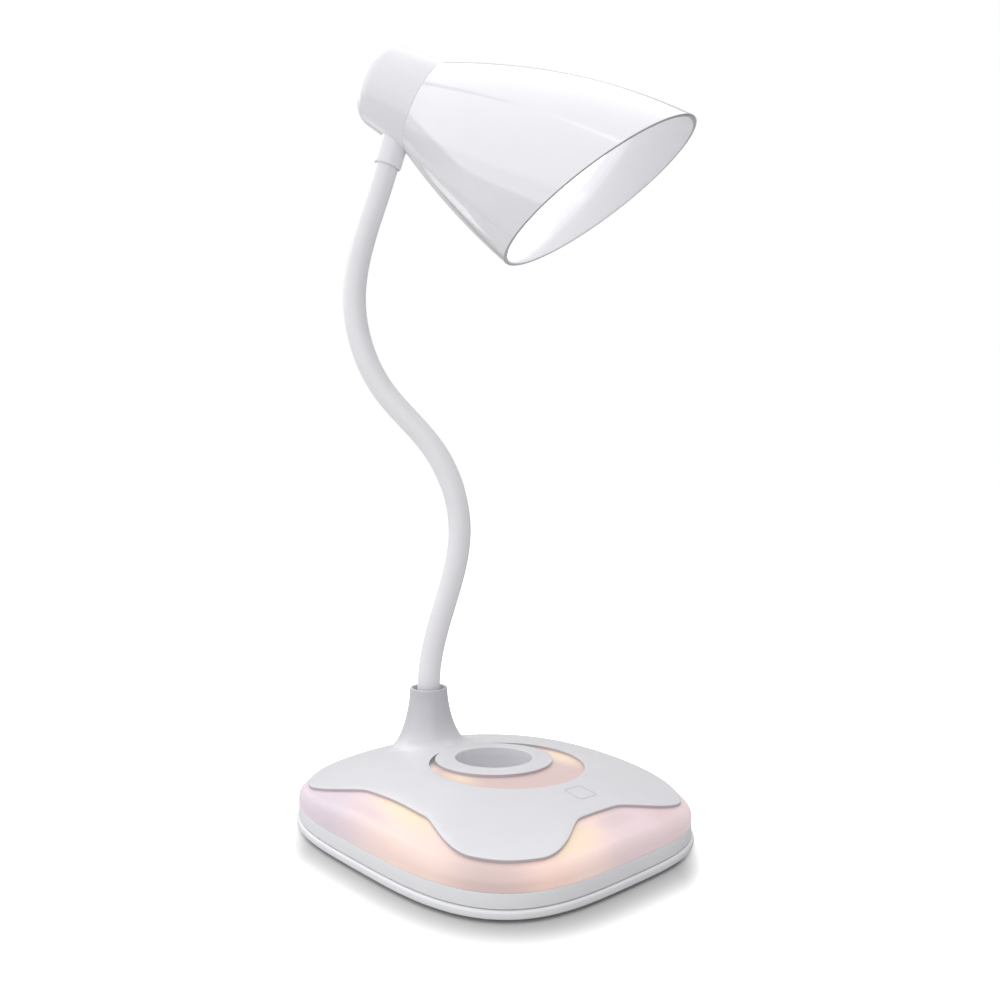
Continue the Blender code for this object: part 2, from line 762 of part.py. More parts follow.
def make_plate():
    """Top plate: domed and wavy, with the trumpet, the pen ring, its slot and the key's groove."""
    top = []
    for turn in quarter_steps(2):
        inset = PLATE_ROUND * (1 - math.cos(turn))
        top.append(dome_ring(plate_outline(inset), PLATE_ROUND * (1 - math.sin(turn))))
    edge = plate_outline(PLATE_ROUND)
    top += [dome_ring(edge * share, 0) for share in DOME_SHARES]
    under = [dome_ring(plate_outline(), PLATE_THICK)]
    under += [dome_ring(edge * share, PLATE_THICK) for share in DOME_SHARES]
    plate = add_piece("top_plate", skin_rings("top_plate", under[::-1] + top, "domed"), WHITE_SATIN)
    stem = Matrix.Translation((STEM_X, FEATURE_Y, 0))
    fuse(plate, add_piece("trumpet", skin_rings("trumpet", flare_rings(), "flat")))
    low = dome(-HALF_LENGTH, 0)
    hollow = [
        (0, SOCKET_UNDER),
        (HOLLOW_TOP_RADIUS, SOCKET_UNDER),
        (HOLLOW_FOOT_RADIUS, dome(STEM_X, FEATURE_Y)),
        (HOLLOW_FOOT_RADIUS, low - PLATE_THICK - OVERRUN),
        (0, low - PLATE_THICK - OVERRUN),
    ]
    cut(plate, turned("trumpet_hollow", hollow, MIDDLE_STEPS, frame=stem))
    place = [(STEM_X, FEATURE_Y)]
    bore = rods("socket_bore", place, SOCKET_BORE, SOCKET_SEAT, SOCKET_TOP + OVERRUN, TURN_STEPS)
    cut(plate, bore)
    stud = STUD_RADIUS + GAP
    cut(plate, rods("stud_hole", place, stud, SOCKET_UNDER - OVERRUN, SOCKET_SEAT + OVERRUN, SMALL_STEPS))
    pen = [(PEN_X, FEATURE_Y)]
    rim = dome(PEN_X, FEATURE_Y)
    collar = PEN_RADIUS + PEN_COLLAR_WALL
    fuse(plate, rods("pen_collar", pen, collar, rim - PEN_COLLAR_DROP, rim - PLATE_THICK / 2, TURN_STEPS))
    cut(plate, rods("pen_hole", pen, PEN_RADIUS, rim - PEN_COLLAR_DROP - OVERRUN, rim + OVERRUN, TURN_STEPS))
    slot = rods("slot_outer", [(PEN_X + SLOT_SHIFT, FEATURE_Y)], SLOT_RADIUS, low, rim + OVERRUN, TURN_STEPS)
    ring = rods("slot_inner", pen, RING_RADIUS, low - OVERRUN, rim + 2 * OVERRUN, TURN_STEPS)
    cut(slot, ring)
    cut(plate, slot)
    work = bmesh.new()
    for x, y in peg_places():
        top = dome(x, y) - PLATE_THICK / 2
        add_rod(work, PEG_RADIUS, top - PEG_LENGTH, top, x, y)
    fuse(plate, from_work("plate_pegs", work))
    key = key_frame()
    outer_line = key_outline(KEY_SIDE + KEY_LINE + 2 * GAP)
    inner_line = key_outline(KEY_SIDE - KEY_LINE - 2 * GAP)
    groove = key_band("key_groove", outer_line, inner_line, -KEY_DEPTH - GAP, OVERRUN, frame=key)
    cut(plate, groove)


def key_frame():
    """A frame on the dome at the touch key, with Z along the dome's normal."""
    slope_x = 2 * DOME_DROP * KEY_X / HALF_LENGTH**2
    slope_y = 2 * DOME_DROP * FEATURE_Y / HALF_LENGTH**2
    normal = Vector((slope_x, slope_y, 1)).normalized()
    turn = normal.to_track_quat("Z", "Y").to_matrix().to_4x4()
    return Matrix.Translation((KEY_X, FEATURE_Y, dome(KEY_X, FEATURE_Y))) @ turn


def key_outline(side):
    """A square with rounded corners."""
    corner = KEY_CORNER + (side - KEY_SIDE) / 2
    straight = side / 2 - corner
    points = []
    for quarter in range(4):
        turn = quarter * math.pi / 2
        middle = Matrix.Rotation(turn, 2) @ Vector((straight, straight))
        for step in quarter_steps():
            points.append(middle + corner * Vector((math.cos(turn + step), math.sin(turn + step))))
    return np.array([tuple(point) for point in points])


def key_band(name, outer, inner, low, high, **rest):
    """A band between two outlines."""
    rings = [level_ring(outer, low), level_ring(outer, high), level_ring(inner, high), level_ring(inner, low)]
    return add_piece(name, skin_rings(name, rings, "ring"), **rest)


def make_key():
    """Printed touch mark in its groove, and the copper pad under the milky shell."""
    outer = key_outline(KEY_SIDE + KEY_LINE)
    inner = key_outline(KEY_SIDE - KEY_LINE)
    key_band("touch_mark", outer, inner, -KEY_DEPTH, 0, finish=MARK_GREY, frame=key_frame())
    top = -SHELL_DROP - SHELL_WALL - GAP
    profile = [(0, top), (TOUCH_RADIUS, top), (TOUCH_RADIUS, top - TOUCH_THICK), (0, top - TOUCH_THICK)]
    turned("touch_pad", profile, SMALL_STEPS, finish=COPPER, frame=key_frame())


def make_cup():
    """Pen cup between the plate's collar and the floor."""
    frame = Matrix.Translation((PEN_X, FEATURE_Y, 0))
    top = dome(PEN_X, FEATURE_Y) - PEN_COLLAR_DROP - GAP
    foot = FLOOR_TOP + GAP
    outer = PEN_RADIUS + CUP_WALL
    profile = [
        (0, foot),
        (outer, foot),
        (outer, top),
        (PEN_RADIUS, top),
        (PEN_RADIUS, foot + CUP_FLOOR),
        (0, foot + CUP_FLOOR),
    ]
    turned("pen_cup", profile, finish=COOL_WHITE, frame=frame)


def make_board():
    """Control board with its chips, the charging socket at its back edge and all board screws."""
    size = (BOARD_LENGTH, BOARD_WIDTH, BOARD_THICK)
    centre = (BOARD_X, FEATURE_Y, BOARD_BOTTOM + BOARD_THICK / 2)
    board = block("control_board", size, centre, finish=BOARD_GREEN)
    hole = SCREW_RADIUS + GAP
    cut(board, rods("board_holes", board_screw_places(), hole, BOARD_BOTTOM - OVERRUN, BOARD_TOP + OVERRUN))
    work = bmesh.new()
    for x, y, length, width in CHIP_TABLE_SHARES:
        chip = (length * BOARD_LENGTH, width * BOARD_WIDTH, CHIP_HEIGHT + SEAT_SINK)
        place = (BOARD_X + x * BOARD_LENGTH, FEATURE_Y + y * BOARD_WIDTH)
        add_block(work, chip, (*place, BOARD_TOP + (CHIP_HEIGHT - SEAT_SINK) / 2))
    fuse(board, from_work("control_chips", work))
    seat = BOARD_TOP + GAP
    screws("board_screw", board_screw_places(), seat, seat - FLOOR_TOP + SEAT_SINK - GAP)
    make_charge_socket()


def make_charge_socket():
    """Charging socket: a steel shell with its mouth through the band and a tongue inside."""
    middle = BOARD_TOP + GAP + PLUG_HEIGHT / 2
    back = -HALF_LENGTH + BAND_INSET
    size = (PLUG_LENGTH, PLUG_WIDTH, PLUG_HEIGHT)
    socket = block("charge_socket", size, (back + PLUG_LENGTH / 2, FEATURE_Y, middle), finish=STEEL)
    soften(socket, PLUG_ROUND - GAP)
    wide = PLUG_WIDTH - 2 * PLUG_WALL
    high = PLUG_HEIGHT - 2 * PLUG_WALL
    depth = PLUG_LENGTH - PLUG_WALL
    hollow = block("plug_hollow", (depth * 2, wide, high), (back, FEATURE_Y, middle))
    soften(hollow, PLUG_ROUND - PLUG_WALL - GAP)
    cut(socket, hollow)
    tongue_size = (depth - PLUG_ROUND + PLUG_WALL / 2, wide - 2 * PLUG_ROUND, PLUG_TONGUE)
    tongue_x = back + PLUG_ROUND + tongue_size[0] / 2
    fuse(socket, block("plug_tongue", tongue_size, (tongue_x, FEATURE_Y, middle)))


def make_battery():
    """Flat rechargeable cell in its cradle."""
    floor = FLOOR_TOP + GAP
    outer = (
        BATTERY_LENGTH + 2 * (CRADLE_WALL + GAP),
        BATTERY_WIDTH + 2 * (CRADLE_WALL + GAP),
        CRADLE_HEIGHT,
    )
    cradle = block("battery_cradle", outer, (BATTERY_X, BATTERY_Y, floor + CRADLE_HEIGHT / 2), finish=COOL_WHITE)
    seat = floor + CRADLE_FLOOR
    room = (BATTERY_LENGTH + 2 * GAP, BATTERY_WIDTH + 2 * GAP, CRADLE_HEIGHT * 2)
    cut(cradle, block("cradle_room", room, (BATTERY_X, BATTERY_Y, seat + CRADLE_HEIGHT)))
    size = (BATTERY_LENGTH, BATTERY_WIDTH, BATTERY_HEIGHT)
    centre = (BATTERY_X, BATTERY_Y, seat + GAP + BATTERY_HEIGHT / 2)
    block("battery_pack", size, centre, BATTERY_ROUND, finish=CELL_BLUE)


def make_ballast():
    """Steel weight at the front, which keeps the lamp from tipping."""
    low = FLOOR_TOP + GAP
    centre = (BALLAST_X, 0, low + BALLAST_THICK / 2)
    plate = block("ballast_plate", (BALLAST_LENGTH, BALLAST_WIDTH, BALLAST_THICK), centre, finish=STEEL)
    upright = plate.modifiers.new("round_corners", "BEVEL")
    upright.width = BALLAST_ROUND
    upright.segments = 4
    upright.limit_method = "WEIGHT"
    weights = plate.data.attributes.new("bevel_weight_edge", "FLOAT", "EDGE")
    for edge in plate.data.edges:
        first, second = (plate.data.vertices[i].co for i in edge.vertices)
        weights.data[edge.index].value = 1.0 if abs(first.z - second.z) > GAP else 0.0
    hole = PEG_RADIUS + GAP
    top = low + BALLAST_THICK
    cut(plate, rods("ballast_holes", ballast_peg_places(), hole, low - OVERRUN, top + OVERRUN))


def make_glow():
    """Ring board round the cup with the coloured LEDs that light the milky shell."""
    frame = Matrix.Translation((PEN_X, FEATURE_Y, 0))
    profile = [
        (GLOW_INNER, GLOW_BOTTOM),
        (GLOW_OUTER, GLOW_BOTTOM),
        (GLOW_OUTER, GLOW_TOP),
        (GLOW_INNER, GLOW_TOP),
    ]
    board = turned("glow_board", profile, finish=BOARD_WHITE, frame=frame)
    hole = PEG_RADIUS - PEG_STEP + GAP
    cut(board, rods("glow_holes", glow_peg_places(), hole, GLOW_BOTTOM - OVERRUN, GLOW_TOP + OVERRUN))
    work = bmesh.new()
    middle = (GLOW_INNER + GLOW_OUTER) / 2
    for i in range(GLOW_COUNT):
        turn = Matrix.Rotation((i + 0.5) * math.tau / GLOW_COUNT, 4, "Z")
        size = (GLOW_LED_LENGTH, LED_WIDTH, GLOW_LED_HEIGHT + SEAT_SINK)
        add_block(work, size, (middle, 0, GLOW_TOP + (GLOW_LED_HEIGHT - SEAT_SINK) / 2), frame @ turn)
    fuse(board, from_work("glow_leds", work))


class Neck:
    """The neck's centreline, its joints and the frames of its rings."""

    def __init__(self):
        turn = math.radians(NECK_TURN)
        self.out = Vector((math.cos(turn), math.sin(turn), 0))
        self.side = Vector((-math.sin(turn), math.cos(turn), 0))
        self.foot = Vector((STEM_X, FEATURE_Y, SOCKET_TOP))
        knots = [(u * NECK_SWING, z * NECK_RISE) for u, z in NECK_ROUTE_SHARES]
        self.line = spline_through(knots, (0, 1), NECK_END_SHARES)
        steps = np.linalg.norm(np.diff(self.line, axis=0), axis=1)
        self.length = np.concatenate(([0], np.cumsum(steps)))
        self.pitch = self.length[-1] / (NECK_JOINTS - 1)

    def world(self, point):
        return self.foot + self.out * float(point[0]) + Vector((0, 0, float(point[1])))

    def at(self, distance):
        """Place and direction at a distance along the centreline."""
        small = self.length[-1] / ROUTE_SAMPLES
        ends = np.clip((distance - small, distance + small), 0, self.length[-1])
        low, high = (self.flat(value) for value in ends)
        heading = (high - low) / np.linalg.norm(high - low)
        direction = self.out * float(heading[0]) + Vector((0, 0, float(heading[1])))
        return self.world(self.flat(distance)), direction

    def flat(self, distance):
        return np.array([np.interp(distance, self.length, self.line[:, i]) for i in (0, 1)])

    def joint(self, number):
        """Centre and direction of joint 1, 2 and so on."""
        return self.at((number - 1) * self.pitch)

    def ring(self, place, direction, radius, sides):
        across = direction.cross(self.side)
        turns = np.arange(sides) * math.tau / sides
        return [place + radius * (math.cos(t) * across + math.sin(t) * self.side) for t in turns]


def spline_through(knots, start, end):
    """Cubic spline through flat points with given end directions, sampled evenly."""
    points = np.array(knots, float)
    gaps = np.linalg.norm(np.diff(points, axis=0), axis=1)
    marks = np.concatenate(([0], np.cumsum(gaps)))
    count = len(points)
    system = np.eye(count)
    slopes = np.zeros((count, 2))
    slopes[0] = np.array(start) / np.linalg.norm(start)
    slopes[-1] = np.array(end) / np.linalg.norm(end)
    for i in range(1, count - 1):
        before, after = gaps[i - 1], gaps[i]
        system[i, i - 1 : i + 2] = (after, 2 * (before + after), before)
        rise = (points[i] - points[i - 1]) / before
        fall = (points[i + 1] - points[i]) / after
        slopes[i] = 3 * (after * rise + before * fall)
    tangents = np.linalg.solve(system, slopes)
    samples = np.linspace(0, marks[-1], ROUTE_SAMPLES)
    index = np.clip(np.searchsorted(marks, samples, "right") - 1, 0, count - 2)
    span = gaps[index][:, None]
    x = ((samples - marks[index]) / gaps[index])[:, None]
    value = points[index] * (1 - 3 * x**2 + 2 * x**3) + points[index + 1] * (3 * x**2 - 2 * x**3)
    lean = tangents[index] * (x - 2 * x**2 + x**3) + tangents[index + 1] * (x**3 - x**2)
    return value + span * lean


def ball_stations():
    """Ball end of a sleeve from its widest ring to its bore: height and radius."""
    last = math.degrees(math.acos(SLEEVE_BORE / NECK_RADIUS))
    angles = [math.radians(angle) for angle in (0.0, *BALL_ANGLES, last)]
    return [(NECK_RADIUS * math.sin(a), NECK_RADIUS * math.cos(a)) for a in angles]


def cup_stations():
    """Hollow end of a sleeve from its bore out to its rim: height and radius."""
    first = math.degrees(math.acos(SLEEVE_BORE / JOINT_CUP))
    angles = [math.radians(angle) for angle in (first, CUP_MIDDLE_ANGLE, RIM_ANGLE)]
    stations = [(JOINT_CUP * math.sin(a), JOINT_CUP * math.cos(a)) for a in angles]
    return [*stations, (NECK_RADIUS * math.tan(math.radians(RIM_ANGLE)), NECK_RADIUS)]


def straight_rings(neck, joint, stations, sides):
    """Rings on the straight line through a joint."""
    place, direction = joint
    return [neck.ring(place + direction * height, direction, radius, sides) for height, radius in stations]


def curved_rings(neck, start, shares, radius, sides):
    """Rings that follow the bend between two joints."""
    return [neck.ring(*neck.at(start + share * neck.pitch), radius, sides) for share in shares]


def make_link(neck, number, carrier):
    """One link of the neck: a soft sleeve with a cup below and a ball above, and its steel core."""
    low, high = neck.joint(number), neck.joint(number + 1)
    start = (number - 1) * neck.pitch
    cup = cup_stations()
    rings = [*straight_rings(neck, low, [cup[-1]], NECK_SIDES)]
    rings += curved_rings(neck, start, LINK_SHARES, NECK_RADIUS, NECK_SIDES)
    rings += straight_rings(neck, high, ball_stations(), NECK_SIDES)
    rings += curved_rings(neck, start, CORE_SHARES[::-1], SLEEVE_BORE, NECK_SIDES)
    rings += straight_rings(neck, low, cup[:-1], NECK_SIDES)
    name = f"neck_sleeve_{number}"
    add_piece(name, skin_rings(name, rings, "ring"), WHITE_SATIN, carrier)
    begin = NECK_RADIUS + CORE_START
    rings = straight_rings(neck, low, [(begin, CORE_BORE), (begin, CORE_RADIUS)], CORE_SIDES)
    rings += curved_rings(neck, start, CORE_SHARES, CORE_RADIUS, CORE_SIDES)
    rings += straight_rings(neck, high, [(CORE_TOP, CORE_RADIUS), (CORE_TOP, CORE_BORE)], CORE_SIDES)
    rings += curved_rings(neck, start, CORE_SHARES[::-1], CORE_BORE, CORE_SIDES)
    name = f"neck_core_{number}"
    add_piece(name, skin_rings(name, rings, "ring"), STEEL, carrier)


def make_neck_foot(neck):
    """What holds the neck in the base: anchor, washer, nut and the sleeve's fixed end."""
    frame = Matrix.Translation((STEM_X, FEATURE_Y, 0))
    seat = SOCKET_SEAT + GAP
    flange = SOCKET_BORE - ANCHOR_EDGE
    profile = [
        (STUD_BORE, SOCKET_TOP - STUD_REACH),
        (STUD_RADIUS, SOCKET_TOP - STUD_REACH),
        (STUD_RADIUS, seat),
        (flange, seat),
        (flange, seat + ANCHOR_FLANGE),
        (CORE_RADIUS, seat + ANCHOR_FLANGE),
        (CORE_RADIUS, SOCKET_TOP + CORE_TOP),
        (STUD_BORE, SOCKET_TOP + CORE_TOP),
    ]
    turned("neck_anchor", profile, MIDDLE_STEPS, finish=STEEL, frame=frame)
    hole = STUD_RADIUS + GAP
    top = SOCKET_UNDER - GAP
    edge = HOLLOW_TOP_RADIUS - WASHER_EDGE
    washer = [(hole, top - WASHER_THICK), (edge, top - WASHER_THICK), (edge, top), (hole, top)]
    turned("neck_washer", washer, MIDDLE_STEPS, finish=STEEL, frame=frame)
    top -= WASHER_THICK + GAP
    make_nut("neck_nut", NUT_WIDTH, hole, top - NUT_THICK, top, None, frame)
    foot = seat + ANCHOR_FLANGE + GAP - SOCKET_TOP
    joint = neck.joint(1)
    upright = (joint[0], Vector((0, 0, 1)))
    rings = straight_rings(neck, upright, [(foot, SLEEVE_BORE), (foot, NECK_RADIUS)], NECK_SIDES)
    rings += straight_rings(neck, upright, ball_stations(), NECK_SIDES)
    add_piece("neck_sleeve_foot", skin_rings("neck_sleeve_foot", rings, "ring"), WHITE_SATIN)


def make_nut(name, width, hole, low, high, carrier, frame):
    """A hexagon nut."""
    work = bmesh.new()
    add_rod(work, width / math.sqrt(3), low, high, steps=6)
    nut = from_work(name, work, STEEL, carrier, frame)
    cut(nut, rods(name + "_hole", [(0, 0)], hole, low - OVERRUN, high + OVERRUN, SMALL_STEPS, frame=frame))


def bell_radius(station):
    """Outer radius of the shade: a flare that eases off to straight at the bell's full length."""
    return BELL_RADIUS - (BELL_RADIUS - SEAM_RADIUS) * (1 - station / BELL_LENGTH) ** 2


def head_frame(neck):
    """The head's frame: Z along its axis, X up and across it."""
    tilt = math.radians(HEAD_TILT)
    up = Vector((0, 0, 1))
    axis = neck.out * math.cos(tilt) - up * math.sin(tilt)
    across = neck.out * math.sin(tilt) + up * math.cos(tilt)
    side = axis.cross(across)
    turn = Matrix((across, side, axis)).transposed().to_4x4()
    place = Vector((STEM_X, FEATURE_Y, HEAD_UP)) + neck.out * HEAD_OUT
    return Matrix.Translation(place) @ turn


def collar_frame(neck):
    """The collar's frame: Z along the neck's last direction, from the last joint."""
    place, direction = neck.joint(NECK_JOINTS)
    across = neck.side.cross(direction)
    turn = Matrix((across, neck.side, direction)).transposed().to_4x4()
    return Matrix.Translation(place) @ turn


def cap_profile(radius, depth):
    """Rounded rear end of the housing, from its pole to its widest ring."""
    shares = [math.cos(turn) for turn in quarter_steps(5)]
    return [(radius * (1 - share**2) ** (1 / CAP_POWER), -HOUSING_LENGTH - depth * share) for share in shares]


def slanted_block(name, top, bottom, frame, behind=False, shift=0):
    """A block on one side of a plane through the bell's top wall at one station and its bottom at another."""
    high = Vector((bell_radius(top), 0, top))
    low = Vector((-bell_radius(bottom), 0, bottom))
    along = (high - low).normalized()
    side = Vector((0, 1, 0))
    normal = along.cross(side)
    if normal.z < 0:
        normal = -normal
    reach = BELL_LENGTH * 2
    middle = (high + low) / 2 + normal * ((-reach / 2 if behind else reach / 2) + shift)
    turn = Matrix((along, normal.cross(along), normal)).transposed().to_4x4()
    return block(name, (reach, reach, reach), (0, 0, 0), frame=frame @ Matrix.Translation(middle) @ turn)


def make_head_shell(neck, carrier):
    """Rear housing and shade."""
    frame = head_frame(neck)
    place = {"carrier": carrier, "frame": frame}
    wall = HEAD_WALL
    inner_rear = cap_profile(HOUSING_REAR_RADIUS - wall, CAP_DEPTH - wall)
    outer = cap_profile(HOUSING_REAR_RADIUS, CAP_DEPTH) + [(SEAM_RADIUS, -GAP)]
    ledge = [
        (LEDGE_RADIUS, -GAP),
        (LEDGE_RADIUS, -GAP - wall),
        (SEAM_RADIUS - wall, -GAP - wall),
    ]
    housing = turned("rear_housing", outer + ledge + inner_rear[::-1], finish=WHITE_SATIN, **place)
    collar = collar_frame(neck)
    boss_radius = COLLAR_NUT_WIDTH / math.sqrt(3) + GAP
    low = COLLAR_SEAT
    high = COLLAR_NUT_START - GAP
    boss = rods("collar_boss", [(0, 0)], boss_radius, low, high, SMALL_STEPS, frame=collar)
    half = wall / 2
    core = cap_profile(HOUSING_REAR_RADIUS - half, CAP_DEPTH - half)
    core += [(SEAM_RADIUS - half, -GAP - half), (0, -GAP - half)]
    combine(boss, turned("boss_limit", core, MIDDLE_STEPS, frame=frame), "INTERSECT")
    fuse(housing, boss)
    hole = rods("collar_hole", [(0, 0)], SPIGOT_RADIUS + GAP, COLLAR_START, SPIGOT_END, SMALL_STEPS, frame=collar)
    cut(housing, hole)
    screw_places = head_screw_places()
    clear = SCREW_RADIUS + GAP
    cut(housing, rods("ledge_holes", screw_places, clear, -GAP - wall - OVERRUN, OVERRUN, frame=frame))
    stations = np.linspace(0, BELL_LENGTH, BELL_STATIONS)
    profile = [(bell_radius(s), s) for s in stations]
    profile += [(bell_radius(s) - wall, s) for s in stations[:0:-1]]
    profile += [(bell_radius(wall) - wall, wall), (LEDGE_RADIUS, wall), (LEDGE_RADIUS, 0)]
    shade = turned("shade", profile, finish=WHITE_SATIN, **place)
    cut(shade, slanted_block("mouth_cut", MOUTH_TOP, MOUTH_BOTTOM, frame))
    cut(shade, rods("shade_holes", screw_places, clear, -OVERRUN, wall + OVERRUN, frame=frame))


def head_screw_places():
    turns = [math.tau * i / HEAD_SCREW_COUNT for i in range(HEAD_SCREW_COUNT)]
    return [(HEAD_SCREW_RING * math.cos(t), HEAD_SCREW_RING * math.sin(t)) for t in turns]


def make_light_engine(neck, carrier):
    """Heat spreader, LED board and chips, reflector, milky disc and the screws through them."""
    frame = head_frame(neck)
    place = {"carrier": carrier, "frame": frame}
    low = HEAD_WALL + GAP
    high = low + SPREADER_THICK
    profile = [(SPREADER_HOLE, low), (SPREADER_RADIUS, low), (SPREADER_RADIUS, high), (SPREADER_HOLE, high)]
    spreader = turned("heat_spreader", profile, finish=ALUMINIUM, **place)
    clear = SCREW_RADIUS + GAP
    places = head_screw_places()
    cut(spreader, rods("spreader_holes", places, clear, low - OVERRUN, high + OVERRUN, frame=frame))
    seat = high + GAP
    screws("housing_screw", places, seat, seat + HEAD_SCREW_END, **place)
    board_top = seat + LED_BOARD_THICK
    profile = [(0, seat), (LED_BOARD_RADIUS, seat), (LED_BOARD_RADIUS, board_top), (0, board_top)]
    board = turned("led_board", profile, MIDDLE_STEPS, finish=BOARD_WHITE, **place)
    work = bmesh.new()
    for x, y in led_places():
        size = (LED_WIDTH, LED_WIDTH, LED_THICK + SEAT_SINK)
        add_block(work, size, (x, y, board_top + (LED_THICK - SEAT_SINK) / 2))
    fuse(board, from_work("led_chips", work, frame=frame))
    make_reflector(frame, place)
    solid = inner_bell(HEAD_WALL + GAP, DISC_BOTTOM / 2, BELL_LENGTH)
    disc = turned("light_disc", solid, finish=FROSTED, **place)
    cut(disc, slanted_block("disc_front_cut", DISC_TOP, DISC_BOTTOM, frame))
    cut(disc, slanted_block("disc_back_cut", DISC_TOP, DISC_BOTTOM, frame, True, -DISC_THICK))


def led_places():
    """One LED in the middle and two rings round it."""
    places = [(0, 0)]
    for ring in (1, 2):
        count = 6 * ring
        for i in range(count):
            turn = math.tau * i / count
            places.append((ring * LED_PITCH * math.cos(turn), ring * LED_PITCH * math.sin(turn)))
    return places


def inner_bell(inset, low, high):
    """A solid plug with the shade's inner form between two stations."""
    stations = np.linspace(low, high, BELL_STATIONS)
    return [(0, low), *[(bell_radius(s) - inset, s) for s in stations], (0, high)]


def make_reflector(frame, place):
    """A thin white reflector along the shade's inner wall, from the LED board to the disc."""
    inset = HEAD_WALL + GAP
    start = REFLECTOR_START
    stations = np.linspace(start, BELL_LENGTH, BELL_STATIONS)
    profile = [(bell_radius(s) - inset, s) for s in stations]
    inner = inset + REFLECTOR_WALL
    profile += [(bell_radius(s) - inner, s) for s in stations[:0:-1]]
    floor = start + REFLECTOR_WALL
    profile += [(bell_radius(floor) - inner, floor), (REFLECTOR_HOLE, floor), (REFLECTOR_HOLE, start)]
    reflector = turned("reflector", profile, finish=WHITE_SATIN, **place)
    cut(reflector, slanted_block("reflector_cut", DISC_TOP, DISC_BOTTOM, frame, False, -DISC_THICK - GAP))


def make_collar(neck, carrier):
    """The collar between neck and head, its nut, and the ends of sleeve and core inside it."""
    frame = collar_frame(neck)
    place = {"carrier": carrier, "frame": frame}
    body = [
        (NECK_RADIUS + GAP, COLLAR_START),
        (COLLAR_RADIUS, COLLAR_START),
        (COLLAR_RADIUS, SPIGOT_END),
        (SPIGOT_RADIUS, SPIGOT_END),
        (SPIGOT_RADIUS, COLLAR_SEAT - SEAT_SINK),
        (NECK_RADIUS + GAP, COLLAR_SEAT - SEAT_SINK),
    ]
    collar = turned("neck_collar", body, MIDDLE_STEPS, finish=WHITE_SATIN, **place)
    envelope = [(0, -HOUSING_LENGTH - CAP_DEPTH - GAP)]
    envelope += [(radius + GAP, height) for radius, height in cap_profile(HOUSING_REAR_RADIUS, CAP_DEPTH)]
    envelope += [(SEAM_RADIUS + GAP, 0), (bell_radius(HEAD_WALL) + GAP, HEAD_WALL), (0, HEAD_WALL)]
    cut(collar, turned("housing_room", envelope, frame=head_frame(neck)))
    spigot = [
        (STUD_BORE, COLLAR_SEAT - SEAT_SINK / 2),
        (SPIGOT_RADIUS + SEAT_SINK, COLLAR_SEAT - SEAT_SINK / 2),
        (SPIGOT_RADIUS + SEAT_SINK, COLLAR_SEAT),
        (SPIGOT_RADIUS, COLLAR_SEAT),
        (SPIGOT_RADIUS, SPIGOT_END),
        (STUD_BORE, SPIGOT_END),
    ]
    fuse(collar, turned("collar_spigot", spigot, MIDDLE_STEPS, frame=frame))
    low = COLLAR_NUT_START
    make_nut("collar_nut", COLLAR_NUT_WIDTH, SPIGOT_RADIUS + GAP, low, low + NUT_THICK, carrier, frame)
    joint = neck.joint(NECK_JOINTS)
    end = COLLAR_SEAT - SEAT_SINK - GAP
    cup = cup_stations()
    stations = [cup[-1], (end, NECK_RADIUS), (end, SLEEVE_BORE), *cup[:-1]]
    rings = straight_rings(neck, joint, stations, NECK_SIDES)
    add_piece("neck_sleeve_top", skin_rings("neck_sleeve_top", rings, "ring"), WHITE_SATIN, carrier)
    begin = NECK_RADIUS + CORE_START
    stations = [(begin, CORE_BORE), (begin, CORE_RADIUS), (end, CORE_RADIUS), (end, CORE_BORE)]
    rings = straight_rings(neck, joint, stations, CORE_SIDES)
    add_piece("neck_core_top", skin_rings("neck_core_top", rings, "ring"), STEEL, carrier)


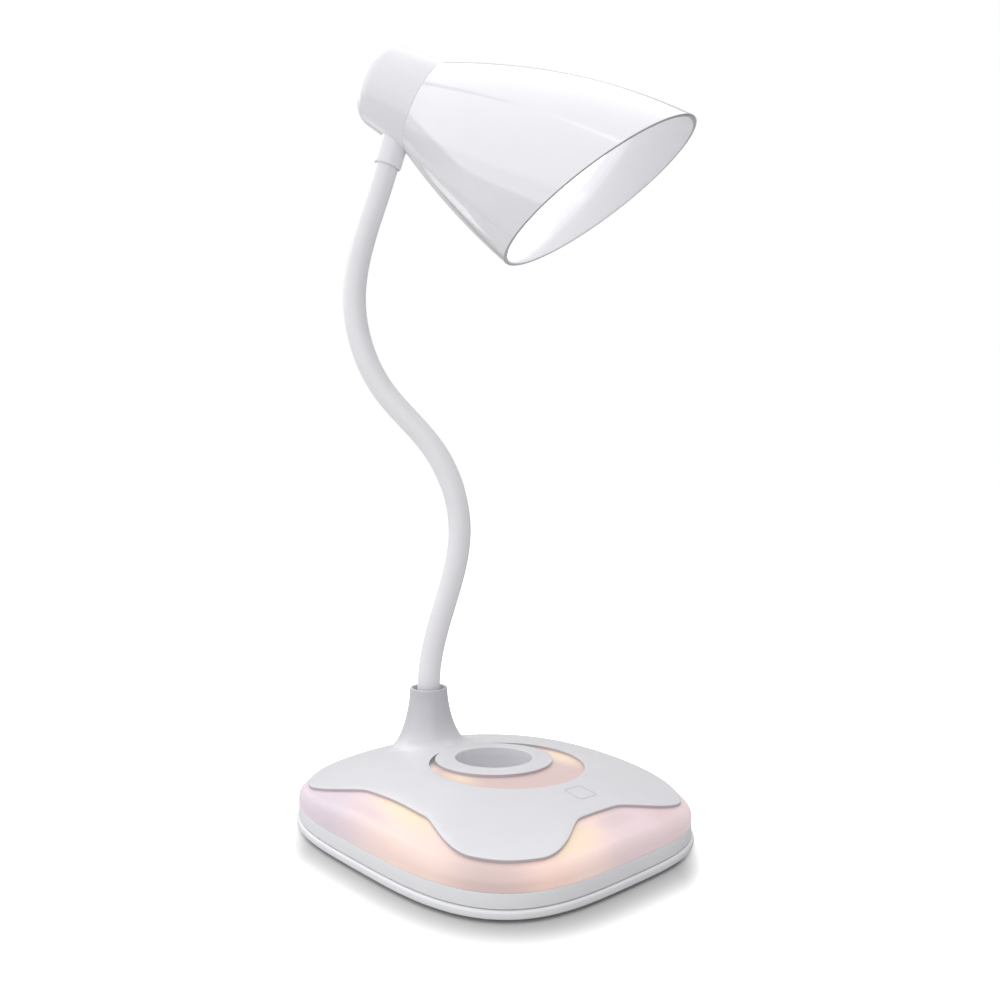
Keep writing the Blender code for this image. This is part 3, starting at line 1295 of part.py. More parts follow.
def make_wires(neck, carrier):
    """Leads inside the base and the head."""
    deck = BOARD_TOP + GAP
    floor = deck + WIRE_RADIUS
    stud = SOCKET_TOP - STUD_REACH - GAP
    wire("neck_lead", [(STEM_X, FEATURE_Y, stud), (STEM_X, FEATURE_Y, deck)], finish=WIRE_RED)
    side = FEATURE_Y - BOARD_WIDTH / 2
    cell = BATTERY_X - BATTERY_LENGTH / 2 - GAP
    level = FLOOR_TOP + LEAD_LEVEL_SHARE * BATTERY_HEIGHT
    route = [
        (cell, BATTERY_Y, level),
        (cell - LEAD_TURN, BATTERY_Y, level),
        ((cell - LEAD_TURN + BOARD_X) / 2, (BATTERY_Y + side) / 2, level),
        (BOARD_X, side - LEAD_TURN, level),
        (BOARD_X, side + LEAD_TURN - WIRE_RADIUS, floor),
    ]
    wire("battery_leads", route, finish=WIRE_RED)
    front = BOARD_X + BOARD_LENGTH / 2 - LEAD_TURN
    ring = (GLOW_BOTTOM + GLOW_TOP) / 2
    edge = PEN_X - GLOW_OUTER - GAP
    route = [(edge, FEATURE_Y, ring), ((edge + front) / 2, FEATURE_Y, ring), (front, FEATURE_Y, floor)]
    wire("glow_lead", route, finish=WIRE_RED)
    reach = GLOW_OUTER + LEAD_TURN
    start = key_frame() @ Vector((0, 0, -SHELL_DROP - SHELL_WALL - TOUCH_THICK - 3 * GAP))
    down = start - Vector((0, 0, LEAD_TURN / 2))
    route = [start, down, (KEY_X - LEAD_TURN, FEATURE_Y + LEAD_TURN, (start.z + GLOW_TOP) / 2)]
    for turn in TOUCH_LEAD_TURNS:
        place = math.radians(turn)
        route.append((PEN_X + reach * math.cos(place), FEATURE_Y + reach * math.sin(place), GLOW_TOP))
    route.append((front, FEATURE_Y + BOARD_WIDTH / 2 - 2 * LEAD_TURN, floor))
    wire("touch_lead", route, finish=WIRE_RED)
    place = head_frame(neck)
    back = -HOUSING_LENGTH / 2
    end = collar_frame(neck) @ Vector((0, 0, SPIGOT_END + GAP))
    start = place.inverted() @ end
    route = [start, (start.x / 2, 0, back), (0, 0, back / 2), (0, 0, HEAD_WALL + SPREADER_THICK)]
    wire("head_lead", route, finish=WIRE_RED, carrier=carrier, frame=place)


def main():
    clear_scene()
    make_pad()
    make_cover()
    make_band()
    make_shell()
    make_plate()
    make_key()
    make_cup()
    make_board()
    make_battery()
    make_ballast()
    make_glow()
    neck = Neck()
    make_neck_foot(neck)
    carrier = None
    for number in range(1, NECK_JOINTS + 1):
        carrier = add_empty(f"neck_joint_{number}", neck.joint(number)[0], carrier)
        if number < NECK_JOINTS:
            make_link(neck, number, carrier)
    make_collar(neck, carrier)
    make_head_shell(neck, carrier)
    make_light_engine(neck, carrier)
    make_wires(neck, carrier)


main()
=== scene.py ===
"""Looks of a touch LED table lamp, laid out as a Blender add-on and run as a script.

Every visible surface is worked out on a grid with numpy, in metres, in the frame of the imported
solids: X forward, Y to the lamp's left, Z up, with the origin on the table under the base.
"""

import math

import bmesh
import bpy
import numpy as np
from bpy.props import FloatProperty, FloatVectorProperty, IntProperty, PointerProperty
from bpy.types import Operator, Panel, PropertyGroup
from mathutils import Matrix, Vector
from mathutils.geometry import delaunay_2d_cdt


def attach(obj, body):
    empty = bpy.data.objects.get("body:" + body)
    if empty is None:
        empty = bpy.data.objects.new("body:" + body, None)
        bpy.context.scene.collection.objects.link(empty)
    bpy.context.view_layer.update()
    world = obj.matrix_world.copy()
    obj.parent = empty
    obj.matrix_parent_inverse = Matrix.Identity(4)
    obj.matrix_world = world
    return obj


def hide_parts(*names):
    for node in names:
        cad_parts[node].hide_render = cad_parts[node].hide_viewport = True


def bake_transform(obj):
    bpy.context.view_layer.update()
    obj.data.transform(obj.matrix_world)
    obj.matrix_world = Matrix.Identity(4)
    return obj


bl_info = {
    "name": "Touch Table Lamp",
    "version": (1, 0, 0),
    "blender": (4, 5, 0),
    "location": "View3D > Sidebar > Lamp",
    "description": "Builds the surfaces, finishes and studio of a touch table lamp",
    "category": "Add Mesh",
}

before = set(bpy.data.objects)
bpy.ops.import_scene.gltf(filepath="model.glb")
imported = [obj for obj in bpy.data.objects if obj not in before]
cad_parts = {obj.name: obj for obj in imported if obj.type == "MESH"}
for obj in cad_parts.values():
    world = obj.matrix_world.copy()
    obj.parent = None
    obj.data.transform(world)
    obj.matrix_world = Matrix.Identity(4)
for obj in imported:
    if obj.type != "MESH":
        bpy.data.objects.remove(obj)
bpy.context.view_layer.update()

# Trumpet outline: share of its height, share of its spread beyond the socket's radius
FLARE_SHARES = (
    (0.0, 1.04),
    (0.014, 0.94),
    (0.045, 0.8),
    (0.1, 0.65),
    (0.18, 0.515),
    (0.28, 0.385),
    (0.4, 0.27),
    (0.54, 0.165),
    (0.7, 0.08),
    (0.85, 0.025),
    (1.0, 0.0),
)
# Neck route: share of its swing, share of its rise
ROUTE_SHARES = (
    (0.0, 0.0),
    (0.19, 0.15),
    (0.424, 0.312),
    (0.08, 0.471),
    (-0.61, 0.589),
    (-1.0, 0.772),
    (-0.603, 1.0),
)
ROUTE_END_SHARES = (0.31, 0.95)
# Rings for each stretch of the trumpet's outline
FLARE_STEPS = 8
BODIES = ("base", *(f"neck_link_{number}" for number in range(1, 8)), "head")
# Points closer than WELD are one point, and edges sharper than SHARP aren't smoothed
WELD = 2e-6
SHARP = math.radians(38.0)
# Distance of the points inside a domed sheet
SPACING = 0.0025
# Rounds in which a place on the slanted mouth settles, and halvings that find the collar's upper edge
SETTLE_ROUNDS = 60
HALVINGS = 40


def length(name, description, default):
    """A size in metres."""
    return FloatProperty(name=name, description=description, default=default, unit="LENGTH", precision=5)


def power(name, description, default):
    """An exponent of a rounded outline."""
    return FloatProperty(name=name, description=description, default=default, min=2.0, max=12.0)


def colour(name, description, default):
    """A linear colour."""
    return FloatVectorProperty(
        name=name, description=description, default=default, size=3, subtype="COLOR", min=0.0, max=1.0
    )


def ratio(name, description, default, low=0.0, high=2.0):
    """A plain factor."""
    return FloatProperty(
        name=name, description=description, default=default, min=low, soft_max=high, subtype="FACTOR"
    )


def rotation(name, description, degrees):
    """An angle, given in degrees and kept in radians."""
    return FloatProperty(name=name, description=description, default=math.radians(degrees), subtype="ANGLE")


def wave_angles(name, place, flat, reach):
    """Middle, flat half width and whole half width of a wave, given in degrees and kept in radians."""
    default = tuple(math.radians(value) for value in (place, flat, reach))
    description = "Middle, flat part and reach round the base"
    return FloatVectorProperty(name=name, description=description, default=default, size=3, subtype="EULER")


def position(name, description, default):
    """A place in metres."""
    return FloatVectorProperty(
        name=name, description=description, default=default, size=3, subtype="TRANSLATION", precision=5
    )


def point_count(name, description, default, low):
    """A number of points."""
    return IntProperty(name=name, description=description, default=default, min=low)


class BaseSizes(PropertyGroup):
    """Sizes of the base's outline and of its lower case."""

    length: length("Length", "Outer length of the base, front to back", 0.165)
    width: length("Width", "Outer width of the base", 0.1418)
    power: power("Outline power", "How square the base's outline is", 3.4)
    dome_top: length("Dome top", "Height of the plate at the base's middle", 0.029)
    dome_drop: length("Dome drop", "How far the plate falls towards its front edge", 0.00985)
    feature_y: length("Feature line", "Place across the base of stem, pen ring and touch mark", 0.0101)
    gap: length("Gap", "Clearance between neighbouring pieces", 0.0003)
    pad_thick: length("Pad thickness", "Thickness of the non-slip pad", 0.0009)
    pad_inset: length("Pad inset", "Distance of the pad's edge from the base's edge", 0.006)
    cover_floor: length("Cover floor", "Thickness of the bottom cover's floor", 0.0022)
    flange_height: length("Flange height", "Height of the lowest rim", 0.0032)
    flange_width: length("Flange width", "Width of the lowest rim's top", 0.005)
    flange_round: length("Flange round", "Rounding of the lowest rim", 0.001)
    band_inset: length("Band inset", "Distance of the case band from the base's widest edge", 0.0009)
    band_height: length("Band height", "Height of the case band", 0.0058)
    band_wall: length("Band wall", "Thickness of the case band", 0.0023)
    band_round: length("Band round", "Rounding of the case band's edges", 0.0005)
    lip_thick: length("Lip thickness", "Thickness of the band's inner lip", 0.0012)
    lip_rise: length("Lip rise", "Height of the band's inner lip", 0.0025)
    plug_width: length("Socket width", "Width of the charging socket", 0.009)
    plug_height: length("Socket height", "Height of the charging socket", 0.0032)
    plug_length: length("Socket length", "Depth of the charging socket", 0.0074)
    plug_middle: length("Socket level", "Height of the charging socket's middle", 0.0077)
    plug_power: power("Socket power", "How square the charging socket is", 5.0)


class ShellSizes(PropertyGroup):
    """Sizes of the milky shell."""

    wall: length("Wall", "Thickness of the milky shell", 0.002)
    side: length("Side", "Height of the shell's upright side", 0.0026)
    shoulder: length("Shoulder", "Width of the rounded shoulder", 0.004)


class PlateSizes(PropertyGroup):
    """Sizes of the wavy top plate."""

    thick: length("Thickness", "Thickness of the plate", 0.0012)
    inset: length("Inset", "Distance of the plate's edge from the base's edge", 0.0039)
    power: power("Outline power", "How square the plate's outline is", 3.2)
    edge: length("Edge round", "Rounding of the plate's edges", 0.0004)
    right_depth: length("Right wave", "Depth of the wave on the right", 0.0152)
    front_depth: length("Front wave", "Depth of the wave at the front", 0.0176)
    corner_depth: length("Corner trim", "How far the corner lobe is drawn in", 0.0028)
    right_wave: wave_angles("Right wave's place", -89.5, 20.0, 43.0)
    front_wave: wave_angles("Front wave's place", 4.0, 9.0, 32.0)
    corner_wave: wave_angles("Corner lobe's place", -40.0, 10.0, 32.0)
    mark_x: length("Mark place", "Place of the touch mark from the middle", 0.0459)
    mark_side: length("Mark side", "Side of the touch mark's square", 0.0098)
    mark_corner: length("Mark corner", "Corner radius of the touch mark", 0.0015)
    mark_line: length("Mark line", "Width of the touch mark's line", 0.0007)
    mark_depth: length("Mark depth", "How deep the mark sits in the plate", 0.0004)


class PenSizes(PropertyGroup):
    """Sizes of the pen hole, its ring and the crescent beside it."""

    x: length("Place", "Place of the pen hole from the middle", -0.0086)
    radius: length("Hole radius", "Radius of the pen hole", 0.0177)
    ring: length("Ring radius", "Outer radius of the ring round the hole", 0.027)
    slot: length("Crescent radius", "Radius of the crescent's outer edge", 0.0351)
    shift: length("Crescent shift", "How far the crescent's circle lies in front", 0.0089)
    edge: length("Edge round", "Rounding of the hole's edge", 0.0005)
    slot_edge: length("Crescent round", "Rounding of the crescent's edges", 0.0002)
    collar_wall: length("Collar wall", "Wall of the collar under the ring", 0.0028)
    collar_drop: length("Collar depth", "Depth of the collar under the ring", 0.0054)
    cup_wall: length("Cup wall", "Wall of the pen cup", 0.0015)
    cup_floor: length("Cup floor", "Floor of the pen cup", 0.0016)
    cup_round: length("Cup round", "Rounding at the foot of the cup", 0.002)


class NeckSizes(PropertyGroup):
    """Sizes of the trumpet socket and of the bendable neck."""

    x: length("Place", "Place of the stem from the middle", -0.0574)
    top: length("Socket top", "Height of the trumpet's mouth", 0.0522)
    socket: length("Socket radius", "Outer radius of the trumpet's mouth", 0.0093)
    lip: length("Socket lip", "Width of the trumpet's lip", 0.0013)
    depth: length("Socket depth", "Depth of the trumpet's mouth", 0.0078)
    floor: length("Socket floor", "Thickness of the floor in the trumpet", 0.003)
    stud: length("Stud hole", "Radius of the hole for the neck's stud", 0.0043)
    flare: length("Flare radius", "Radius of the trumpet's foot", 0.02)
    hollow_top: length("Hollow top", "Upper radius of the trumpet's hollow", 0.0078)
    hollow_foot: length("Hollow foot", "Lower radius of the trumpet's hollow", 0.0115)
    flange: length("Anchor flange", "Thickness of the anchor that the sleeve stands on", 0.002)
    radius: length("Sleeve radius", "Outer radius of the neck's sleeve", 0.0056)
    skin: length("Sleeve skin", "Thickness of the drawn sleeve", 0.0005)
    turn: rotation("Turn", "Direction in which the neck swings, from the front to the lamp's left", 40.5)
    rise: length("Rise", "Height of the neck's last joint over its first", 0.2505)
    swing: length("Swing", "Reach of the neck's wave to the back", 0.037)
    bend: ratio("Bend", "Share of a link over which a joint bends", 0.38, 0.1, 0.5)
    collar_radius: length("Collar radius", "Radius of the collar under the head", 0.00675)
    collar_start: length("Collar start", "Distance of the collar from the last joint", 0.0069)
    collar_round: length("Collar round", "Rounding of the collar's edge", 0.0007)
    collar_seat: length("Collar seat", "Distance of the sleeve's end from the last joint", 0.0146)


class HeadSizes(PropertyGroup):
    """Sizes of the turned head about its slanting axis, measured from its seam."""

    out: length("Place out", "Place of the seam out from the stem", 0.0005)
    up: length("Place up", "Height of the seam's middle", 0.3357)
    tilt: rotation("Tilt", "How far the head points down", 29.6)
    seam: length("Seam radius", "Radius at the seam", 0.0231)
    rear: length("Rear radius", "Radius of the housing's rear", 0.0201)
    housing: length("Housing length", "Length of the housing's side", 0.0235)
    cap: length("Cap depth", "Depth of the rounded rear end", 0.0098)
    cap_power: power("Cap power", "How square the rear end is", 3.3)
    wall: length("Wall", "Wall of housing and shade", 0.002)
    ledge: length("Ledge radius", "Inner radius of the ledge at the seam", 0.0155)
    bell: length("Bell radius", "Radius of the flare at its full length", 0.0525)
    bell_length: length("Bell length", "Length at which the flare runs straight", 0.1278)
    mouth_top: length("Mouth top", "Length of the shade along its top", 0.1183)
    mouth_bottom: length("Mouth bottom", "Length of the shade along its bottom", 0.0699)
    disc_top: length("Disc top", "Place of the milky disc at the top", 0.086)
    disc_bottom: length("Disc bottom", "Place of the milky disc at the bottom", 0.0625)
    disc_thick: length("Disc thickness", "Thickness of the milky disc", 0.002)
    edge: length("Edge round", "Rounding of the mouth's edge", 0.0004)
    seam_round: length("Seam round", "Rounding of the seam's edges", 0.00015)
    seam_gap: length("Seam gap", "Width of the seam between housing and shade", 0.00006)


class Finishes(PropertyGroup):
    """Colours of the lamp, and how bright its own light is."""

    plate: colour("Plate", "Top plate, ring and trumpet", (0.73, 0.722, 0.755))
    # Painted shade on the plate's narrow edge and on the crescent's walls
    rim: colour("Plate's rim", "Narrow side of the plate", (0.5, 0.47, 0.5))
    # Painted shade on the upper part of the trumpet
    stem: colour("Stem", "Upper part of the trumpet", (0.6, 0.595, 0.635))
    head: colour("Head", "Shade, housing and collar", (0.92, 0.915, 0.962))
    sleeve: colour("Sleeve", "Soft sleeve of the neck", (0.9, 0.893, 0.925))
    case: colour("Case", "Case band and bottom cover", (0.88, 0.885, 0.91))
    cup: colour("Cup", "Pen cup and the ring's bore", (0.765, 0.76, 0.795))
    mark: colour("Mark", "Line of the touch mark", (0.5, 0.5, 0.54))
    pad: colour("Pad", "Non-slip pad", (0.05, 0.05, 0.055))
    peach: colour("Peach", "Main glow of the milky shell", (1.0, 0.77, 0.7))
    ember: colour("Ember", "Warmest broad glow, at the front", (1.0, 0.72, 0.64))
    dusk: colour("Dusk", "Dull glow at the corner and in the crescent", (0.74, 0.57, 0.545))
    pink: colour("Pink", "Glow at the front's left end", (0.86, 0.69, 0.72))
    lavender: colour("Lavender", "Coolest glow, far on the right side", (0.79, 0.675, 0.755))
    amber: colour("Amber", "Warm streaks beside the waves", (1.0, 0.81, 0.61))
    rose: colour("Rose", "Dull bands between the streaks", (0.79, 0.61, 0.64))
    shade: colour("Shade", "Unlit tips of the crescent", (0.26, 0.245, 0.265))
    light: colour("Light", "Milky disc", (1.0, 0.995, 0.985))
    # Painted shade on the shade's inner wall between the milky disc and the mouth
    inner: colour("Inner wall", "Inner wall of the shade", (0.74, 0.74, 0.775))
    # Painted shade on the narrow edge of the shade's mouth
    lip: colour("Lip", "Narrow edge of the shade's mouth", (0.42, 0.42, 0.45))
    glow: ratio("Glow", "Brightness of the milky shell's own light", 0.38)
    lit: ratio("Lit disc", "Brightness of the milky disc's own light", 1.3)


class StageSizes(PropertyGroup):
    """Camera, floor and lights."""

    camera: position("Camera", "Place of the camera", (0.31214, -0.27486, 0.16069))
    target: position("Target", "Point that the camera looks at", (-0.1335, 0.1264, 0.1408))
    lens: FloatProperty(name="Lens", description="Focal length", default=33.887, unit="CAMERA")
    floor: length("Floor", "Half the floor's side", 6.0)
    ambient: ratio("Ambient", "Strength of the even light", 0.37)
    gloss: ratio("Gloss", "Brightness of the room in reflections", 0.6)
    front: ratio("Front light", "Brightness of the tall panel in front", 0.5)
    above: ratio("Light above", "Brightness of the panel above", 0.8)
    left: ratio("Left light", "Brightness of the panel on the left", 1.2)
    back: ratio("Back light", "Brightness of the panel high behind", 1.1)
    card: ratio("Card", "Brightness that the front adds in reflections", 0.36)
    edge: ratio("Edge light", "Brightness of the small panel at the side", 0.6)
    shadow_start: ratio("Shadow start", "Share of the base's reach where the shadow is fullest", 1.02)
    shadow_end: ratio("Shadow end", "Share of the base's reach where the floor is plain white", 1.46)
    side_start: ratio("Shadow side start", "Share of the base's half width where the shadow fades", 0.98)
    side_end: ratio("Shadow side end", "Share of the base's half width where no shadow is left", 1.28)
    # Painted contact shadow on the floor, seen only by the camera
    contact_start: ratio("Contact start", "Share of the base's reach where the floor is darkest", 0.98)
    contact_end: ratio("Contact end", "Share of the base's reach where the floor has its own shade", 1.3)
    contact: ratio("Contact shade", "Shade of the floor close to the base", 0.6)
    open: ratio("Floor shade", "Shade of the floor away from the base", 0.82)
    unseen: ratio("Unseen shade", "Shade of the floor in the light that it throws back", 0.56)


class LampSettings(PropertyGroup):
    """All settings of the lamp."""

    base: PointerProperty(type=BaseSizes)
    shell: PointerProperty(type=ShellSizes)
    plate: PointerProperty(type=PlateSizes)
    pen: PointerProperty(type=PenSizes)
    neck: PointerProperty(type=NeckSizes)
    head: PointerProperty(type=HeadSizes)
    finish: PointerProperty(type=Finishes)
    stage: PointerProperty(type=StageSizes)
    steps: point_count("Steps", "Points round the base's outline", 480, 64)
    round_steps: point_count("Round steps", "Points round turned pieces", 192, 32)
    sleeve_steps: point_count("Sleeve steps", "Points round the neck's sleeve", 64, 16)


# Outlines and surfaces


def turns(count):
    """Even angles round a full turn."""
    return np.arange(count) * math.tau / count


def quarter(count=7):
    """Angles from zero to a right angle."""
    return np.linspace(0, math.pi / 2, count)


def squircle(angle, half_x, half_y, exponent):
    """Reach in each direction of the curve |x/a|^p + |y/b|^p = 1."""
    across = (np.abs(np.cos(angle)) / half_x) ** exponent
    along = (np.abs(np.sin(angle)) / half_y) ** exponent
    return (across + along) ** (-1 / exponent)


def polar(reach, angle, x=0.0, y=0.0):
    """Flat points at a reach in each direction from a middle."""
    return np.column_stack((x + reach * np.cos(angle), y + reach * np.sin(angle)))


def circle(x, y, radius, count):
    """Even points round a circle."""
    return polar(radius, turns(count), x, y)


def base_outline(lamp, inset):
    """The base's squircle, drawn in by an inset."""
    b = lamp.base
    angle = turns(lamp.steps)
    return polar(squircle(angle, b.length / 2 - inset, b.width / 2 - inset, b.power), angle)


def wave(angle, place, depth):
    """A bite that is full over its flat part and eases off as 3t^2 - 2t^3."""
    middle, flat, reach = place
    away = np.abs((angle - middle + math.pi) % math.tau - math.pi)
    t = np.clip((reach - away) / (reach - flat), 0, 1)
    return depth * t * t * (3 - 2 * t)


def plate_outline(lamp, inset):
    """The plate's squircle less its two waves and the trimmed corner lobe."""
    b, p = lamp.base, lamp.plate
    angle = turns(lamp.steps)
    reach = squircle(angle, b.length / 2 - p.inset, b.width / 2 - p.inset, p.power) - inset
    reach -= wave(angle, p.right_wave, p.right_depth)
    reach -= wave(angle, p.front_wave, p.front_depth)
    reach -= wave(angle, p.corner_wave, p.corner_depth)
    return polar(reach, angle)


def crescent_outline(lamp, widen):
    """Two arcs from tip to tip, both moved out by the same amount; the tips are where they meet."""
    pen, y = lamp.pen, lamp.base.feature_y
    inner, outer, shift = pen.ring - widen, pen.slot + widen, pen.shift
    tip_x = (shift**2 + inner**2 - outer**2) / (2 * shift)
    tip_y = math.sqrt(inner**2 - tip_x**2)
    near, far = math.atan2(tip_y, tip_x), math.atan2(tip_y, tip_x - shift)
    count = lamp.round_steps
    first = polar(inner, np.linspace(-near, near, count)[:-1], pen.x, y)
    second = polar(outer, np.linspace(far, -far, count)[:-1], pen.x + shift, y)
    return np.vstack((first, second))


def dome(lamp, x, y):
    """Height of the plate's top: a paraboloid, top - drop (x^2 + y^2) / (length / 2)^2."""
    b = lamp.base
    return b.dome_top - b.dome_drop * (x**2 + y**2) / (b.length / 2) ** 2


def on_dome(lamp, outline, drop=0.0):
    """Lifts flat points to the dome, less a drop."""
    return np.column_stack((outline, dome(lamp, outline[:, 0], outline[:, 1]) - drop))


def level(outline, height):
    """Flat points lifted to one height."""
    return np.column_stack((outline, np.full(len(outline), height)))


def round_base(lamp, section):
    """Rings of a section of (inset, height) carried round the base's squircle."""
    return [level(base_outline(lamp, inset), height) for inset, height in section]


def unit(vectors):
    """Vectors brought to a length of one."""
    return vectors / np.linalg.norm(vectors, axis=1)[:, None]


def skin(rings, closed=False):
    """Quads between neighbouring rings of equal count; each ring is closed, the stack if asked."""
    rings = np.array(rings)
    rows, columns = rings.shape[:2]
    row, column = np.meshgrid(np.arange(rows if closed else rows - 1), np.arange(columns), indexing="ij")
    up, on = (row + 1) % rows, (column + 1) % columns
    low, high = row * columns, up * columns
    faces = np.stack((low + column, low + on, high + on, high + column), -1)
    return rings.reshape(-1, 3), faces.reshape(-1, 4).tolist()


def lid(ring):
    """One flat face over a ring."""
    return np.array(ring), [list(range(len(ring)))]


def capped(rings):
    """Surface parts of a stack of rings that has a flat face at both ends."""
    return [skin(rings), lid(rings[0]), lid(rings[-1])]


def inside(points, outline):
    """Whether flat points lie in an outline, by counting its edges that cross a line to the right."""
    x, y = points[:, :1], points[:, 1:]
    ax, ay = outline[:, 0], outline[:, 1]
    bx, by = np.roll(ax, -1), np.roll(ay, -1)
    spans = (ay > y) != (by > y)
    rise = np.where(by == ay, 1.0, by - ay)
    return (spans & (x < ax + (y - ay) * (bx - ax) / rise)).sum(1) % 2 == 1


def domed_sheet(lamp, outline, holes, drop):
    """Triangles over a flat area with holes, through a staggered grid of points, lifted to the dome."""
    loops = [outline, *holes]
    low, high = outline.min(0), outline.max(0)
    count = np.ceil((high - low) / SPACING).astype(int)
    row, column = np.meshgrid(np.arange(count[1]), np.arange(count[0]), indexing="ij")
    grid = np.column_stack(((column + 0.5 * (row % 2)).ravel(), row.ravel())) * SPACING + low
    near = np.min([np.hypot(*(grid[:, None] - loop[None]).transpose(2, 0, 1)).min(1) for loop in loops], 0)
    keep = inside(grid, outline) & (near > 0.6 * SPACING)
    for hole in holes:
        keep &= ~inside(grid, hole)
    flat = np.vstack((*loops, grid[keep]))
    edges, start = [], 0
    for loop in loops:
        index = np.arange(len(loop))
        edges += (np.column_stack((index, (index + 1) % len(loop))) + start).tolist()
        start += len(loop)
    found = delaunay_2d_cdt([Vector(point) for point in flat.tolist()], edges, [], 0, 1e-9)
    points = np.array([tuple(point) for point in found[0]])
    faces = np.array(found[2])
    middles = points[faces].mean(1)
    keep = inside(middles, outline)
    for hole in holes:
        keep &= ~inside(middles, hole)
    return on_dome(lamp, points, drop), faces[keep].tolist()


def turned(profile, count):
    """Rings of a profile of (radius, height) turned about Z; a radius of zero is a pole."""
    angle = turns(count)
    ring = np.stack((np.cos(angle), np.sin(angle)), -1)
    profile = np.array(profile, float)
    flat = profile[:, 0, None, None] * ring[None]
    height = np.broadcast_to(profile[:, 1, None, None], (len(profile), count, 1))
    return np.concatenate((flat, height), -1)


def rounded(corner, before, after, size, count=5):
    """A flat corner replaced by a quarter curve: c + e ((1 - sin t) b + (1 - cos t) a)."""
    corner, before, after = (np.array(value, float) for value in (corner, before, after))
    back = (before - corner) / np.linalg.norm(before - corner)
    on = (after - corner) / np.linalg.norm(after - corner)
    t = quarter(count)[:, None]
    return (corner + size * ((1 - np.sin(t)) * back + (1 - np.cos(t)) * on)).tolist()


def edge_curve(size, count=7):
    """A plate's rounded edge as steps of inset and drop: e (1 - sin t), e (1 - cos t)."""
    return [(size * (1 - math.sin(t)), size * (1 - math.cos(t))) for t in quarter(count)]


def soft_profile(points, sizes):
    """A closed profile whose corners are rounded by the given sizes; a size of zero keeps a corner."""
    result = []
    for i, (point, size) in enumerate(zip(points, sizes)):
        if size > 0:
            result += rounded(point, points[i - 1], points[(i + 1) % len(points)], size)
        else:
            result.append(list(point))
    return result


def closed_mesh(name, parts, marks=None):
    """One mesh from surface parts, welded along their shared rings, with its faces out."""
    starts = np.cumsum([0, *(len(points) for points, _ in parts)]).tolist()
    faces = [[start + index for index in face] for start, part in zip(starts, parts) for face in part[1]]
    mesh = bpy.data.meshes.new(name)
    mesh.from_pydata(np.vstack([points for points, _ in parts]).tolist(), [], faces)
    for key, values in (marks or {}).items():
        mesh.attributes.new(key, "FLOAT", "POINT").data.foreach_set("value", values.astype(np.float32))
    work = bmesh.new()
    work.from_mesh(mesh)
    bmesh.ops.remove_doubles(work, verts=work.verts, dist=WELD)
    bmesh.ops.recalc_face_normals(work, faces=work.faces)
    if work.calc_volume(signed=True) < 0:
        bmesh.ops.reverse_faces(work, faces=work.faces)
    if any(not edge.is_manifold for edge in work.edges):
        raise RuntimeError(f"{name} isn't a closed surface")
    work.to_mesh(mesh)
    work.free()
    return mesh


def mark_rings(parts, rows):
    """One value a point for each mark, from rows of (part's number, mark, value on each of its rings)."""
    starts = np.cumsum([0, *(len(points) for points, _ in parts)])
    marks = {key: np.zeros(starts[-1]) for _, key, _ in rows}
    for number, key, values in rows:
        start, end = starts[number : number + 2]
        marks[key][start:end] = np.repeat(values, (end - start) // len(values))
    return marks


def add_piece(name, parts, finish, nodes, body=None, marks=None):
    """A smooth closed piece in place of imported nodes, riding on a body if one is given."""
    mesh = closed_mesh(name, parts, marks)
    mesh.shade_smooth()
    mesh.set_sharp_from_angle(angle=SHARP)
    mesh.materials.append(finish)
    piece = bpy.data.objects.new(name, mesh)
    bpy.context.scene.collection.objects.link(piece)
    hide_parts(*nodes)
    if body is not None:
        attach(piece, body)
    return piece


def cut_away(piece, tool_parts):
    """Takes a closed tool out of a piece and drops the tool."""
    tool = bpy.data.objects.new("tool", closed_mesh("tool", tool_parts))
    bpy.context.scene.collection.objects.link(tool)
    step = piece.modifiers.new("opening", "BOOLEAN")
    step.operation = "DIFFERENCE"
    step.solver = "EXACT"
    step.object = tool
    bpy.context.view_layer.update()
    made = bpy.data.meshes.new_from_object(piece.evaluated_get(bpy.context.evaluated_depsgraph_get()))
    piece.modifiers.remove(step)
    made.name = piece.name
    piece.data = made
    made.set_sharp_from_angle(angle=SHARP)
    bpy.data.objects.remove(tool)


# Finishes


def new_finish(name):
    """An empty material with its shader: material, node tree, shader."""
    material = bpy.data.materials.new(name)
    material.use_nodes = True
    tree = material.node_tree
    return material, tree, tree.nodes["Principled BSDF"]


def add_node(tree, kind, inputs=None, **settings):
    """Adds a node, sets it up and links or fills its sockets."""
    node = tree.nodes.new(kind)
    for key, value in settings.items():
        setattr(node, key, value)
    for key, value in (inputs or {}).items():
        if isinstance(value, bpy.types.NodeSocket):
            tree.links.new(value, node.inputs[key])
        else:
            node.inputs[key].default_value = value
    return node


def object_place(tree):
    """The place of a point on its piece, in metres."""
    return add_node(tree, "ShaderNodeTexCoord").outputs["Object"]


def calc(tree, operation, *values):
    """A sum or another operation on numbers."""
    return add_node(tree, "ShaderNodeMath", dict(enumerate(values)), operation=operation).outputs[0]


def along_line(tree, place, direction):
    """How far a place lies along a line through the origin."""
    inputs = {0: place, 1: direction}
    return add_node(tree, "ShaderNodeVectorMath", inputs, operation="DOT_PRODUCT").outputs["Value"]


def mark_share(tree, key):
    """The value of a mark that a piece's points carry."""
    return add_node(tree, "ShaderNodeAttribute", attribute_name=key).outputs["Fac"]


def noise(tree, place, scale, detail=3.0):
    """A noise pattern of about one spot for every 1 / scale metres."""
    inputs = {"Vector": place, "Scale": scale, "Detail": detail}
    return add_node(tree, "ShaderNodeTexNoise", inputs).outputs[0]


